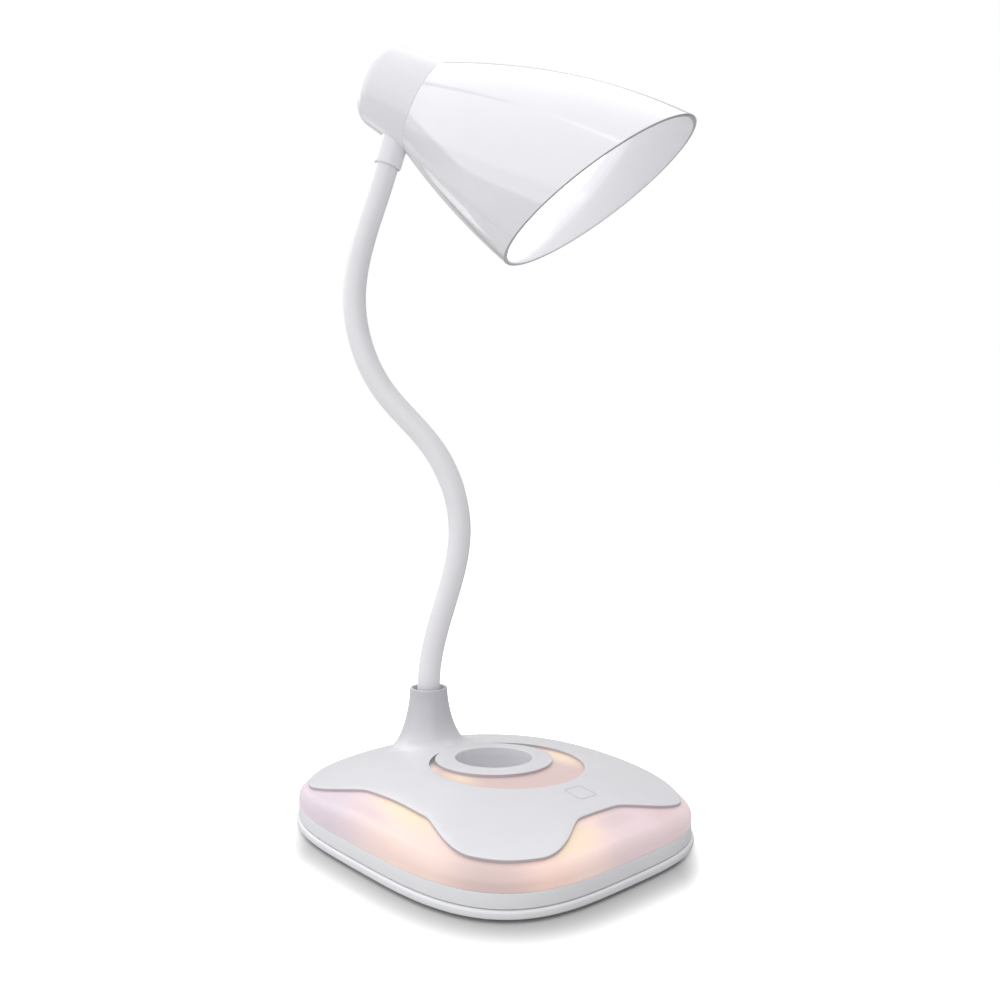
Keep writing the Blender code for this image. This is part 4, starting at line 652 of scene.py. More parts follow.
def blend_colours(tree, share, first, second):
    """A colour between two, by a share."""
    node = add_node(tree, "ShaderNodeMix", data_type="RGBA")
    for socket, value in ((node.inputs[0], share), (node.inputs[6], first), (node.inputs[7], second)):
        if isinstance(value, bpy.types.NodeSocket):
            tree.links.new(value, socket)
        elif socket.type == "RGBA":
            socket.default_value = (*value[:3], 1.0)
        else:
            socket.default_value = value
    return node.outputs[2]


def remap(tree, value, low, high, to_low, to_high, ease="SMOOTHSTEP"):
    """A value carried from one range to another with soft ends."""
    inputs = {"Value": value, 1: low, 2: high, 3: to_low, 4: to_high}
    return add_node(tree, "ShaderNodeMapRange", inputs, interpolation_type=ease).outputs[0]


def bump(tree, shader, height, strength, distance):
    """Fine relief from a pattern, without moving the surface."""
    node = add_node(tree, "ShaderNodeBump", {"Height": height, "Strength": strength, "Distance": distance})
    tree.links.new(node.outputs[0], shader.inputs["Normal"])


def tint(value, factor):
    """A colour made lighter or darker."""
    return tuple(min(1.0, part * factor) for part in value)


def moulded_plastic(name, base, roughness, grain=2600.0, depth=0.000012, coat=0.0):
    """Injection moulded plastic: faint clouds in its colour, a fine moulding grain, uneven gloss."""
    material, tree, shader = new_finish(name)
    place = object_place(tree)
    clouds = remap(tree, noise(tree, place, 38.0, 2.0), 0.35, 0.65, 0.0, 1.0)
    tree.links.new(blend_colours(tree, clouds, tint(base, 0.985), base), shader.inputs["Base Color"])
    gloss = noise(tree, place, 120.0, 3.0)
    low, high = roughness * 0.92, roughness * 1.08
    tree.links.new(remap(tree, gloss, 0.3, 0.7, low, high, "LINEAR"), shader.inputs["Roughness"])
    shader.inputs["IOR"].default_value = 1.5
    if coat > 0:
        shader.inputs["Coat Weight"].default_value = coat
        shader.inputs["Coat Roughness"].default_value = 0.09
        shader.inputs["Coat IOR"].default_value = 1.7
    bump(tree, shader, noise(tree, place, grain, 2.0), 0.25, depth)
    return material


def brushed_metal(name, base, roughness):
    """Metal with fine drawn lines along X and small changes of gloss."""
    material, tree, shader = new_finish(name)
    stretch = (40.0, 2200.0, 2200.0)
    place = add_node(tree, "ShaderNodeMapping", {"Vector": object_place(tree), "Scale": stretch}).outputs[0]
    lines = noise(tree, place, 1.0, 3.0)
    tree.links.new(blend_colours(tree, lines, tint(base, 0.85), base), shader.inputs["Base Color"])
    low, high = roughness * 0.8, roughness * 1.3
    tree.links.new(remap(tree, lines, 0.3, 0.7, low, high, "LINEAR"), shader.inputs["Roughness"])
    shader.inputs["Metallic"].default_value = 1.0
    bump(tree, shader, lines, 0.2, 0.00001)
    return material


def marked(material, colours):
    """Gives each marked part of a piece its own colour."""
    tree = material.node_tree
    shader = tree.nodes["Principled BSDF"]
    shade = shader.inputs["Base Color"].links[0].from_socket
    for key, value in colours.items():
        shade = blend_colours(tree, mark_share(tree, key), shade, value)
    tree.links.new(shade, shader.inputs["Base Color"])
    return material


def shade_finish(name, finish, outer):
    """The head's plastic with painted shade: darker on the narrow lip of the mouth, and darker and matt on
    the inner wall.
    """
    material = marked(outer.copy(), {"inner": finish.inner, "lip": finish.lip})
    material.name = name
    tree = material.node_tree
    shader = tree.nodes["Principled BSDF"]
    gloss = shader.inputs["Roughness"].links[0].from_socket
    inner = mark_share(tree, "inner")
    tree.links.new(calc(tree, "MULTIPLY_ADD", inner, 0.4, gloss), shader.inputs["Roughness"])
    tree.links.new(remap(tree, inner, 0.0, 1.0, 1.0, 0.0, "LINEAR"), shader.inputs["Coat Weight"])
    return material


def board_lacquer(name, base):
    """Circuit board: woven glass under lacquer, with faint tracks."""
    material, tree, shader = new_finish(name)
    place = object_place(tree)
    cells = add_node(tree, "ShaderNodeTexBrick", {"Vector": place, "Scale": 260.0, "Mortar Size": 0.03})
    tracks = remap(tree, cells.outputs[1], 0.0, 1.0, 0.0, 0.5, "LINEAR")
    tree.links.new(blend_colours(tree, tracks, base, tint(base, 1.5)), shader.inputs["Base Color"])
    shader.inputs["Roughness"].default_value = 0.35
    bump(tree, shader, cells.outputs[1], 0.2, 0.00003)
    return material


def soft_rubber(name, base, roughness=0.75):
    """Rubber with a fine pebbled skin."""
    material, tree, shader = new_finish(name)
    place = object_place(tree)
    pebbles = add_node(tree, "ShaderNodeTexVoronoi", {"Vector": place, "Scale": 900.0}).outputs[0]
    tree.links.new(blend_colours(tree, pebbles, tint(base, 1.2), base), shader.inputs["Base Color"])
    shader.inputs["Roughness"].default_value = roughness
    bump(tree, shader, pebbles, 0.5, 0.0001)
    return material


def spot(tree, place, middle, reach, turn=0.0, core=0.0):
    """A soft oval spot: 1 in its core and 0 at its edge, with its own reach along and across."""
    height, reach_up = 0.02, 0.05
    inputs = {
        "Vector": place,
        "Location": (*middle, height),
        "Rotation": (0.0, 0.0, math.radians(turn)),
        "Scale": (*reach, reach_up),
    }
    local = add_node(tree, "ShaderNodeMapping", inputs, vector_type="TEXTURE").outputs[0]
    away = add_node(tree, "ShaderNodeVectorMath", {0: local}, operation="LENGTH").outputs["Value"]
    return remap(tree, away, core, 1.0, 1.0, 0.0)


def milky_glow(name, finish):
    """Milky shell lit from inside: warm in front, pink and lavender to the sides, with streaks."""
    material, tree, shader = new_finish(name)
    place = object_place(tree)
    along = along_line(tree, place, (0.669, 0.743, 0.0))
    shade = finish.lavender
    # Colour, and where it starts and is full along the line from the right rear to the left front
    bands = (
        (finish.peach, -0.068, -0.034),
        (finish.dusk, -0.022, -0.002),
        (finish.ember, 0.004, 0.024),
        (finish.peach, 0.024, 0.036),
        (finish.pink, 0.038, 0.054),
    )
    for value, start, end in bands:
        shade = blend_colours(tree, remap(tree, along, start, end, 0.0, 1.0), shade, value)
    # Colour, strength, middle, reach along and across, turn in degrees, share of the even core
    spots = (
        (finish.dusk, 1.0, (0.012, 0.011), (0.043, 0.046), 0.0, 0.85),
        (finish.rose, 0.6, (-0.002, -0.0625), (0.024, 0.0055), -6.0, 0.0),
        (finish.amber, 0.95, (0.01, -0.0535), (0.03, 0.0085), -9.0, 0.2),
        (finish.amber, 0.9, (0.07, -0.02), (0.009, 0.02), 10.0, 0.2),
        (finish.rose, 0.8, (0.067, 0.008), (0.007, 0.015), 5.0, 0.2),
        (finish.rose, 0.7, (0.073, 0.031), (0.009, 0.014), 10.0, 0.2),
        (finish.amber, 0.75, (0.001, -0.0185), (0.017, 0.0065), 8.0, 0.0),
        (finish.amber, 0.9, (0.005, 0.04), (0.022, 0.012), -20.0, 0.1),
        (finish.shade, 0.95, (-0.03, -0.009), (0.019, 0.015), 0.0, 0.3),
        (finish.shade, 0.95, (-0.0315, 0.0275), (0.025, 0.013), 30.0, 0.4),
    )
    for value, strength, middle, reach, turn, core in spots:
        oval = spot(tree, place, middle, reach, turn, core)
        shade = blend_colours(tree, calc(tree, "MULTIPLY", oval, strength), shade, value)
    clouds = noise(tree, place, 55.0, 2.0)
    shade = blend_colours(tree, remap(tree, clouds, 0.3, 0.7, 0.0, 0.06), shade, (1.0, 1.0, 1.0))
    surface = add_node(tree, "ShaderNodeVectorMath", {0: shade, 1: (0.6, 0.6, 0.6)}, operation="MULTIPLY")
    tree.links.new(surface.outputs["Vector"], shader.inputs["Base Color"])
    tree.links.new(shade, shader.inputs["Emission Color"])
    shader.inputs["Emission Strength"].default_value = finish.glow
    shader.inputs["Specular IOR Level"].default_value = 0.25
    shader.inputs["Roughness"].default_value = 0.3
    bump(tree, shader, noise(tree, place, 1500.0, 2.0), 0.2, 0.00001)
    return material


def lit_disc(name, finish):
    """Frosted disc, lit evenly, with a fine frosting."""
    material, tree, shader = new_finish(name)
    place = object_place(tree)
    frost = noise(tree, place, 1800.0, 2.0)
    share = remap(tree, frost, 0.3, 0.7, 0.0, 1.0)
    shade = blend_colours(tree, share, tint(finish.light, 0.98), finish.light)
    tree.links.new(shade, shader.inputs["Base Color"])
    tree.links.new(shade, shader.inputs["Emission Color"])
    shader.inputs["Emission Strength"].default_value = finish.lit
    shader.inputs["Roughness"].default_value = 0.6
    bump(tree, shader, frost, 0.3, 0.00002)
    return material


# Pieces of the base


class LAMP_OT_top_plate(Operator):
    """Build the domed, wavy top plate with its trumpet, pen ring and crescent"""

    bl_idname = "lamp.top_plate"
    bl_label = "Top plate"

    def execute(self, context):
        """Two domed sheets joined by rounded edges, and a trumpet whose rings follow the dome."""
        lamp = context.scene.lamp
        p, pen, neck, y = lamp.plate, lamp.pen, lamp.neck, lamp.base.feature_y
        count = lamp.round_steps
        trumpet = self.trumpet_rings(lamp)
        holes = [circle(pen.x, y, pen.radius + pen.edge, count), crescent_outline(lamp, pen.slot_edge)]
        top = domed_sheet(lamp, plate_outline(lamp, p.edge), [*holes, trumpet[0][:, :2]], 0.0)
        collar = circle(pen.x, y, pen.radius + pen.collar_wall, count)
        holes = [collar, crescent_outline(lamp, 0.0), trumpet[-1][:, :2]]
        under = domed_sheet(lamp, plate_outline(lamp, p.edge / 2), holes, p.thick)
        rim = edge_curve(p.edge)
        rim += [(inset, p.thick - drop) for inset, drop in reversed(edge_curve(p.edge / 2, 4))]
        rim = [on_dome(lamp, plate_outline(lamp, inset), drop) for inset, drop in rim]
        slot = [*edge_curve(pen.slot_edge), (0.0, 0.95 * p.thick), (0.0, p.thick)]
        slot = [on_dome(lamp, crescent_outline(lamp, widen), drop) for widen, drop in slot]
        bore = self.bore_rings(lamp, collar)
        parts = [top, under, skin(rim), skin(slot), skin(bore), skin(trumpet)]
        # A mark starts on a rounded edge and leaves out the last ring, which a sheet shares
        painted_shade_ramp = (2, 4, len(rim) - 2, len(rim) - 1)
        rows = (
            # Painted shade: the plate's narrow edge and the crescent's walls are coloured darker
            (2, "rim", np.interp(np.arange(len(rim)), painted_shade_ramp, (0.0, 1.0, 1.0, 0.0))),
            (3, "rim", [3 <= row < len(slot) - 1 for row in range(len(slot))]),
            (4, "well", [4 <= row < len(bore) - 1 for row in range(len(bore))]),
            # Painted shade: the upper trumpet is darker than the plate, though it is the same plastic
            (5, "stem", np.interp(np.arange(len(trumpet)), (2 * FLARE_STEPS, 7 * FLARE_STEPS), (0.0, 1.0))),
        )
        colours = {"stem": lamp.finish.stem, "well": lamp.finish.cup, "rim": lamp.finish.rim}
        finish = marked(moulded_plastic("plate_white", lamp.finish.plate, 0.25), colours)
        marks = mark_rings(parts, rows)
        add_piece("plate_and_trumpet", parts, finish, ["top_plate"], "base", marks)
        return {"FINISHED"}

    @staticmethod
    def bore_rings(lamp, collar):
        """The pen hole from its rounded edge down to the collar's end, and the collar's outside."""
        pen, y = lamp.pen, lamp.base.feature_y
        low = dome(lamp, pen.x, y) - pen.collar_drop
        rings = []
        for widen, drop in edge_curve(pen.edge):
            rings.append(on_dome(lamp, circle(pen.x, y, pen.radius + widen, lamp.round_steps), drop))
        rings.append(level(circle(pen.x, y, pen.radius, lamp.round_steps), low))
        return [*rings, level(collar, low), on_dome(lamp, collar, lamp.plate.thick)]

    @staticmethod
    def trumpet_rings(lamp):
        """Rings at radius socket + spread r and height foot + (top - foot) h, then the bore and hollow."""
        neck, y, count = lamp.neck, lamp.base.feature_y, lamp.round_steps
        edge = neck.lip / 3
        spread = neck.flare - neck.socket
        rings = []
        for height, reach in smooth_path(np.array(FLARE_SHARES), FLARE_STEPS):
            outline = circle(neck.x, y, neck.socket + spread * reach, count)
            base = dome(lamp, outline[:, 0], outline[:, 1])
            rings.append(np.column_stack((outline, base + (neck.top - edge - base) * height)))
        bore = neck.socket - neck.lip
        seat = neck.top - neck.depth
        under = seat - neck.floor
        outer, inner = (neck.socket, neck.top), (bore, neck.top)
        profile = rounded(outer, (neck.socket, seat), inner, edge)[1:]
        profile += rounded(inner, outer, (bore, seat), edge)
        profile += [(bore, seat), (neck.stud, seat), (neck.stud, under), (neck.hollow_top, under)]
        rings += [level(circle(neck.x, y, radius, count), height) for radius, height in profile]
        rings.append(on_dome(lamp, circle(neck.x, y, neck.hollow_foot, count), lamp.plate.thick))
        return rings


def smooth_path(knots, count):
    """A Catmull-Rom line through flat points, each stretch in even steps."""
    padded = np.vstack((2 * knots[0] - knots[1], knots, 2 * knots[-1] - knots[-2]))
    a, b, c, d = (padded[i : len(padded) - 3 + i, None] for i in range(4))
    t = (np.arange(count) / count)[None, :, None]
    line = 0.5 * (2 * b + (c - a) * t + (2 * a - 5 * b + 4 * c - d) * t**2 + (3 * b - a - 3 * c + d) * t**3)
    return np.vstack((line.reshape(-1, 2), knots[-1:]))


class LAMP_OT_milky_shell(Operator):
    """Build the milky shell that glows under the plate"""

    bl_idname = "lamp.milky_shell"
    bl_label = "Milky shell"

    def execute(self, context):
        """Side, quarter shoulder and dome, once outside and once inside, joined at foot and holes."""
        lamp = context.scene.lamp
        b, p, s, pen, neck = lamp.base, lamp.plate, lamp.shell, lamp.pen, lamp.neck
        bottom = shell_bottom(lamp)
        side = bottom + s.side
        cup = circle(pen.x, b.feature_y, pen.radius + pen.collar_wall + b.gap, lamp.round_steps)
        stem = circle(neck.x, b.feature_y, neck.hollow_foot, lamp.round_steps)
        parts, feet, loops = [], [], []
        for depth in (0.0, s.wall):
            inset, drop = b.band_inset + depth, p.thick + b.gap + depth
            rings = [level(base_outline(lamp, inset), bottom), level(base_outline(lamp, inset), side)]
            for t in quarter(13)[1:]:
                outline = base_outline(lamp, inset + s.shoulder * (1 - math.cos(t)))
                top = dome(lamp, outline[:, 0], outline[:, 1]) - drop
                rings.append(np.column_stack((outline, side + (top - side) * math.sin(t))))
            parts.append(skin(rings))
            edge = base_outline(lamp, inset + s.shoulder)
            parts.append(domed_sheet(lamp, edge, [cup, stem], drop))
            feet.append(rings[0])
            loops.append([on_dome(lamp, hole, drop) for hole in (cup, stem)])
        parts.append(skin(feet))
        parts += [skin(pair) for pair in zip(*loops)]
        finish = milky_glow("milky_glow", lamp.finish)
        add_piece("milky_shell", parts, finish, ["light_diffuser"], "base")
        return {"FINISHED"}


def band_bottom(lamp):
    """Height of the case band's foot, above pad and cover."""
    b = lamp.base
    return b.pad_thick + b.gap + b.flange_height + b.gap


def shell_bottom(lamp):
    """Height of the milky shell's foot, above the band."""
    return band_bottom(lamp) + lamp.base.band_height + lamp.base.gap


class LAMP_OT_lower_case(Operator):
    """Build the case band, the bottom cover's rim and the non-slip pad"""

    bl_idname = "lamp.lower_case"
    bl_label = "Lower case"

    def execute(self, context):
        """Each is a rounded section carried round the base's squircle."""
        lamp = context.scene.lamp
        b = lamp.base
        low = band_bottom(lamp)
        high = low + b.band_height
        outer, lip = b.band_inset, b.band_inset + b.band_wall
        inner = lip + b.lip_thick
        points = [(inner, low), (outer, low), (outer, high), (lip, high), (lip, high + b.lip_rise)]
        points.append((inner, high + b.lip_rise))
        edge = b.band_round
        section = soft_profile(points, [0, edge, edge / 2, 0, edge / 2, edge / 2])
        parts = [skin(round_base(lamp, section), True)]
        case = moulded_plastic("case_grey", lamp.finish.case, 0.36)
        band = add_piece("band_ring", parts, case, ["case_band"], "base")
        cut_away(band, self.slot(lamp))
        bottom = b.pad_thick + b.gap
        top = bottom + b.flange_height
        floor = bottom + b.cover_floor
        edge = b.flange_round
        section = rounded((0, bottom), (b.flange_width, bottom), (0, top), edge, 7)
        section += rounded((0, top), (0, bottom), (b.flange_width, top), edge, 7)
        section += [[b.flange_width, top], [b.flange_width, floor]]
        parts = capped(round_base(lamp, section))
        add_piece("cover_rim", parts, case, ["bottom_cover"], "base")
        edge = b.pad_thick / 3
        section = rounded((b.pad_inset, 0), (2 * b.pad_inset, 0), (b.pad_inset, b.pad_thick), edge)
        section += [[b.pad_inset, b.pad_thick]]
        rubber = soft_rubber("pad_black", lamp.finish.pad)
        parts = capped(round_base(lamp, section))
        add_piece("foot_pad", parts, rubber, ["non_slip_pad"], "base")
        return {"FINISHED"}

    @staticmethod
    def slot(lamp):
        """A rounded bar through the band's rear wall, for the charging socket."""
        b = lamp.base
        angle = turns(48)
        half_y, half_z = b.plug_width / 2 + b.gap, b.plug_height / 2 + b.gap
        reach = squircle(angle, half_y, half_z, b.plug_power)
        y, z = b.feature_y + reach * np.cos(angle), b.plug_middle + reach * np.sin(angle)
        ends = (-b.length / 2 - b.plug_length, -b.length / 2 + b.plug_length)
        return capped([np.column_stack((np.full(len(y), x), y, z)) for x in ends])


class LAMP_OT_pen_cup(Operator):
    """Build the pen cup below the ring"""

    bl_idname = "lamp.pen_cup"
    bl_label = "Pen cup"

    def execute(self, context):
        """A profile turned about the hole's axis, with a rounded foot inside."""
        lamp = context.scene.lamp
        b, pen = lamp.base, lamp.pen
        foot = b.pad_thick + 2 * b.gap + b.cover_floor
        floor = foot + pen.cup_floor
        top = dome(lamp, pen.x, b.feature_y) - pen.collar_drop - b.gap / 8
        outer = pen.radius + pen.cup_wall
        profile = [[0, foot], [outer, foot], [outer, top], [pen.radius, top]]
        profile += rounded((pen.radius, floor), (pen.radius, top), (0, floor), pen.cup_round, 9)
        profile += [[0, floor]]
        rings = turned(profile, lamp.round_steps) + np.array((pen.x, b.feature_y, 0))
        finish = moulded_plastic("cup_grey", lamp.finish.cup, 0.4)
        add_piece("pen_well", [skin(rings)], finish, ["pen_cup"], "base")
        return {"FINISHED"}


class LAMP_OT_touch_mark(Operator):
    """Build the fine square of the touch mark"""

    bl_idname = "lamp.touch_mark"
    bl_label = "Touch mark"

    def execute(self, context):
        """A thin band between two rounded squares, pressed onto the dome."""
        lamp = context.scene.lamp
        p, y = lamp.plate, lamp.base.feature_y
        outlines = [self.square(p, p.mark_side + side * p.mark_line) for side in (1, -1)]
        proud = -p.mark_depth / 20
        rings = []
        for outline, drop in ((0, p.mark_depth), (0, proud), (1, proud), (1, p.mark_depth)):
            rings.append(on_dome(lamp, outlines[outline] + np.array((p.mark_x, y)), drop))
        finish = moulded_plastic("mark_grey", lamp.finish.mark, 0.5)
        add_piece("mark_line", [skin(rings, True)], finish, ["touch_mark"], "base")
        return {"FINISHED"}

    @staticmethod
    def square(p, side):
        """A square whose corners are quarter circles."""
        corner = p.mark_corner + (side - p.mark_side) / 2
        straight = side / 2 - corner
        points = []
        for number in range(4):
            angle = number * math.pi / 2 + quarter(12)
            shift = straight * math.sqrt(2) * np.array((math.cos(angle.mean()), math.sin(angle.mean())))
            points.append(shift + polar(corner, angle))
        return np.vstack(points)


# Neck


def neck_route(lamp, count=4000):
    """The neck's centreline: a cubic spline in its own upright plane, as lengths, places and directions."""
    neck = lamp.neck
    knots = np.array(ROUTE_SHARES) * (neck.swing, neck.rise)
    gaps = np.linalg.norm(np.diff(knots, axis=0), axis=1)
    marks = np.concatenate(([0], np.cumsum(gaps)))
    system, right = np.eye(len(knots)), np.zeros((len(knots), 2))
    right[0] = (0, 1)
    right[-1] = np.array(ROUTE_END_SHARES) / np.linalg.norm(ROUTE_END_SHARES)
    for i in range(1, len(knots) - 1):
        before, after = gaps[i - 1], gaps[i]
        system[i, i - 1 : i + 2] = (after, 2 * (before + after), before)
        rise, fall = (knots[i] - knots[i - 1]) / before, (knots[i + 1] - knots[i]) / after
        right[i] = 3 * (after * rise + before * fall)
    slopes = np.linalg.solve(system, right)
    samples = np.linspace(0, marks[-1], count)
    index = np.clip(np.searchsorted(marks, samples, "right") - 1, 0, len(knots) - 2)
    span = gaps[index][:, None]
    x = ((samples - marks[index]) / gaps[index])[:, None]
    flat = knots[index] * (1 - 3 * x**2 + 2 * x**3) + knots[index + 1] * (3 * x**2 - 2 * x**3)
    flat += span * (slopes[index] * (x - 2 * x**2 + x**3) + slopes[index + 1] * (x**3 - x**2))
    along = np.concatenate(([0], np.cumsum(np.linalg.norm(np.diff(flat, axis=0), axis=1))))
    return along, flat


class NeckLine:
    """Places and directions along the neck, straight beyond both ends."""

    def __init__(self, lamp):
        neck = lamp.neck
        self.along, self.flat = neck_route(lamp)
        self.total = self.along[-1]
        self.pitch = self.total / (len(BODIES) - 2)
        self.out = np.array((math.cos(neck.turn), math.sin(neck.turn), 0))
        self.side = np.array((-math.sin(neck.turn), math.cos(neck.turn), 0))
        self.foot = np.array((neck.x, lamp.base.feature_y, neck.top))

    def at(self, distance):
        """Points and unit directions at an array of distances."""
        distance = np.atleast_1d(np.array(distance, float))
        within = np.clip(distance, 0, self.total)
        small = self.total / 1000
        low, high = np.clip(within - small, 0, self.total), np.clip(within + small, 0, self.total)
        direction = unit(self.point(high) - self.point(low))
        return self.point(within) + direction * (distance - within)[:, None], direction

    def point(self, distance):
        """Places within the route: foot + u out + z up."""
        u, z = (np.interp(distance, self.along, self.flat[:, i]) for i in (0, 1))
        return self.foot + u[:, None] * self.out + z[:, None] * np.array((0, 0, 1))

    def rings(self, distance, radius, count):
        """Circles across the line: place + radius (cos a (d x side) + sin a side)."""
        place, direction = self.at(distance)
        across = np.cross(direction, self.side)
        angle = turns(count)[None, :, None]
        return place[:, None] + radius * (np.cos(angle) * across[:, None] + np.sin(angle) * self.side)


class LAMP_OT_neck(Operator):
    """Build the neck's soft sleeve, one curved stretch about each joint"""

    bl_idname = "lamp.neck"
    bl_label = "Neck"

    def execute(self, context):
        """Each stretch is a tube about the centreline from the middle of one link to the next one's."""
        lamp = context.scene.lamp
        b, neck = lamp.base, lamp.neck
        line = NeckLine(lamp)
        finish = moulded_plastic("sleeve_white", lamp.finish.sleeve, 0.42, 2600.0, 0.000003)
        last = len(BODIES) - 1
        ends = {1: ["neck_sleeve_foot", "neck_sleeve_1"], last: ["neck_sleeve_top"]}
        for number in range(1, last + 1):
            centre = (number - 1) * line.pitch
            start, end = centre - line.pitch / 2, centre + line.pitch / 2
            if number == 1:
                start = -neck.depth + b.gap + neck.flange + b.gap
            if number == last:
                end = line.total + neck.collar_seat
            distance = np.linspace(start, end, 49)
            outer = line.rings(distance, neck.radius, lamp.sleeve_steps)
            inner = line.rings(distance, neck.radius - neck.skin, lamp.sleeve_steps)
            nodes = ends.get(number, [f"neck_sleeve_{number}"])
            parts = [skin(np.concatenate((outer, inner[::-1])), True)]
            piece = add_piece(f"sleeve_bend_{number}", parts, finish, nodes)
            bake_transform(piece)
        return {"FINISHED"}


# Head


class HeadForm:
    """The head's own frame and its turned outlines."""

    def __init__(self, lamp):
        h, neck = lamp.head, lamp.neck
        out = np.array((math.cos(neck.turn), math.sin(neck.turn), 0))
        up = np.array((0, 0, 1))
        self.h = h
        self.axis = out * math.cos(h.tilt) - up * math.sin(h.tilt)
        self.across = out * math.sin(h.tilt) + up * math.cos(h.tilt)
        self.side = np.cross(self.axis, self.across)
        self.place = np.array((neck.x, lamp.base.feature_y, h.up)) + out * h.out
        self.frame = np.array((self.across, self.side, self.axis))

    def placed(self, part):
        """A surface part carried from the head's frame to the lamp's."""
        points, faces = part
        return self.place + points @ self.frame, faces

    def local(self, points):
        """Points carried from the lamp's frame to the head's."""
        return (points - self.place) @ self.frame.T

    def bell(self, station):
        """Outer radius of the shade: R - (R - r) (1 - s / L)^2."""
        return self.h.bell - (self.h.bell - self.h.seam) * (1 - station / self.h.bell_length) ** 2

    def cap(self, inset, count=40):
        """Rear end from its pole: r = R sin t, station = -L - D sqrt(1 - sin^p t)."""
        t = np.linspace(0, math.pi / 2, count)
        share = np.sqrt(np.clip(1 - np.sin(t) ** self.h.cap_power, 0, 1))
        station = -self.h.housing - (self.h.cap - inset) * share
        return np.column_stack(((self.h.rear - inset) * np.sin(t), station))

    def slanted(self, top, bottom, inset, angle, shift=0.0):
        """Where a plane through the wall's top and bottom stations meets the wall in each direction."""
        high, low = self.bell(top), self.bell(bottom)
        slope = (top - bottom) / (high + low)
        start = top - slope * high + shift * math.sqrt(1 + slope**2)
        station = np.full(len(angle), start)
        for _ in range(SETTLE_ROUNDS):
            station = start + slope * (self.bell(station) - inset) * np.cos(angle)
        return station, start

    def wall(self, station, angle, inset):
        """A ring on the shade's wall, drawn in by an inset, with its own station in each direction."""
        radius = self.bell(station) - inset
        return np.column_stack((radius * np.cos(angle), radius * np.sin(angle), station))


class LAMP_OT_head(Operator):
    """Build the rear housing and the flared shade"""

    bl_idname = "lamp.head"
    bl_label = "Head"

    def execute(self, context):
        """The housing is a turned profile; the shade's rings run from the seam to the slanting mouth."""
        lamp = context.scene.lamp
        form, h = HeadForm(lamp), lamp.head
        gap = h.seam_gap
        outer, inner = form.cap(0.0), form.cap(h.wall)
        seam = rounded((h.seam, -gap), outer[-1], (h.ledge, -gap), h.seam_round)
        ledge = [(h.ledge, -gap), (h.ledge, -gap - h.wall), (h.seam - h.wall, -gap - h.wall)]
        profile = [*outer.tolist(), *seam, *ledge, *inner[::-1].tolist()]
        rings = turned(profile, lamp.round_steps)
        grain, depth = 1500.0, 0.000004
        finish = moulded_plastic("housing_white", tint(lamp.finish.head, 0.99), 0.3, grain, depth, 0.45)
        parts = [form.placed(skin(rings))]
        add_piece("housing_shell", parts, finish, ["rear_housing"], "head")
        rings, marks = self.shade_rings(lamp, form)
        glossy = moulded_plastic("head_white", lamp.finish.head, 0.14, grain, depth, 1.0)
        finish = shade_finish("shade_white", lamp.finish, glossy)
        parts = [form.placed(skin(rings, True))]
        add_piece("shade_bell", parts, finish, ["shade"], "head", marks)
        return {"FINISHED"}

    @staticmethod
    def shade_rings(lamp, form):
        """Outer wall, rounded rim, inner wall and ledge, each ring at a share of the way to the mouth."""
        h = lamp.head
        angle = turns(lamp.round_steps * 3 // 2)
        outer_rows, inner_rows, edge_rows = 72, 60, 6
        outer_end, _ = form.slanted(h.mouth_top, h.mouth_bottom, 0.0, angle)
        inner_end, _ = form.slanted(h.mouth_top, h.mouth_bottom, h.wall, angle)
        flat = [(form.bell(0), 0.0), (form.bell(h.wall), h.wall)]
        rings = []
        for radius, station in rounded(flat[0], (h.ledge, 0), flat[1], h.seam_round):
            rings.append(level(polar(radius, angle), station))
        first = h.seam_round * 2
        for share in np.linspace(0, 1, outer_rows):
            rings.append(form.wall(first + (outer_end - h.edge - first) * share, angle, 0.0))
        lip = len(rings)
        outer_edge = form.wall(outer_end, angle, 0.0)
        inner_edge = form.wall(inner_end, angle, h.wall)
        over = unit(inner_edge - outer_edge)
        up_outside = unit(rings[-1] - outer_edge)
        up_inside = unit(form.wall(inner_end - h.edge, angle, h.wall) - inner_edge)
        for edge, back, ahead in ((outer_edge, up_outside, over), (inner_edge, -over, up_inside)):
            for t in quarter(edge_rows):
                rings.append(edge + h.edge * ((1 - math.sin(t)) * back + (1 - math.cos(t)) * ahead))
        for share in np.linspace(1, 0, inner_rows)[1:]:
            rings.append(form.wall(h.wall + (inner_end - h.edge - h.wall) * share, angle, h.wall))
        for station in (h.wall, 0.0):
            rings.append(level(polar(h.ledge, angle), station))
        number = np.repeat(np.arange(len(rings)), len(angle))
        turn = lip + edge_rows
        # Painted shade: the lip mark darkens the mouth's rounded edge and fades out on the inner rounding
        painted_shade_ramp = np.interp(number, (lip, lip + 1, turn - 1, turn, turn + 1), (0.0, 1.0, 1.0, 0.35, 0.0))
        # Painted shade: the inner wall between the milky disc and the mouth is darker
        disc_end, _ = form.slanted(h.disc_top, h.disc_bottom, h.wall, angle)
        past = np.concatenate([ring[:, 2] - disc_end for ring in rings])
        painted_inner_shade = np.clip(past / (2 * h.disc_thick) - 1, 0, 1) * (number > turn + edge_rows - 2)
        return rings, {"lip": painted_shade_ramp, "inner": painted_inner_shade}


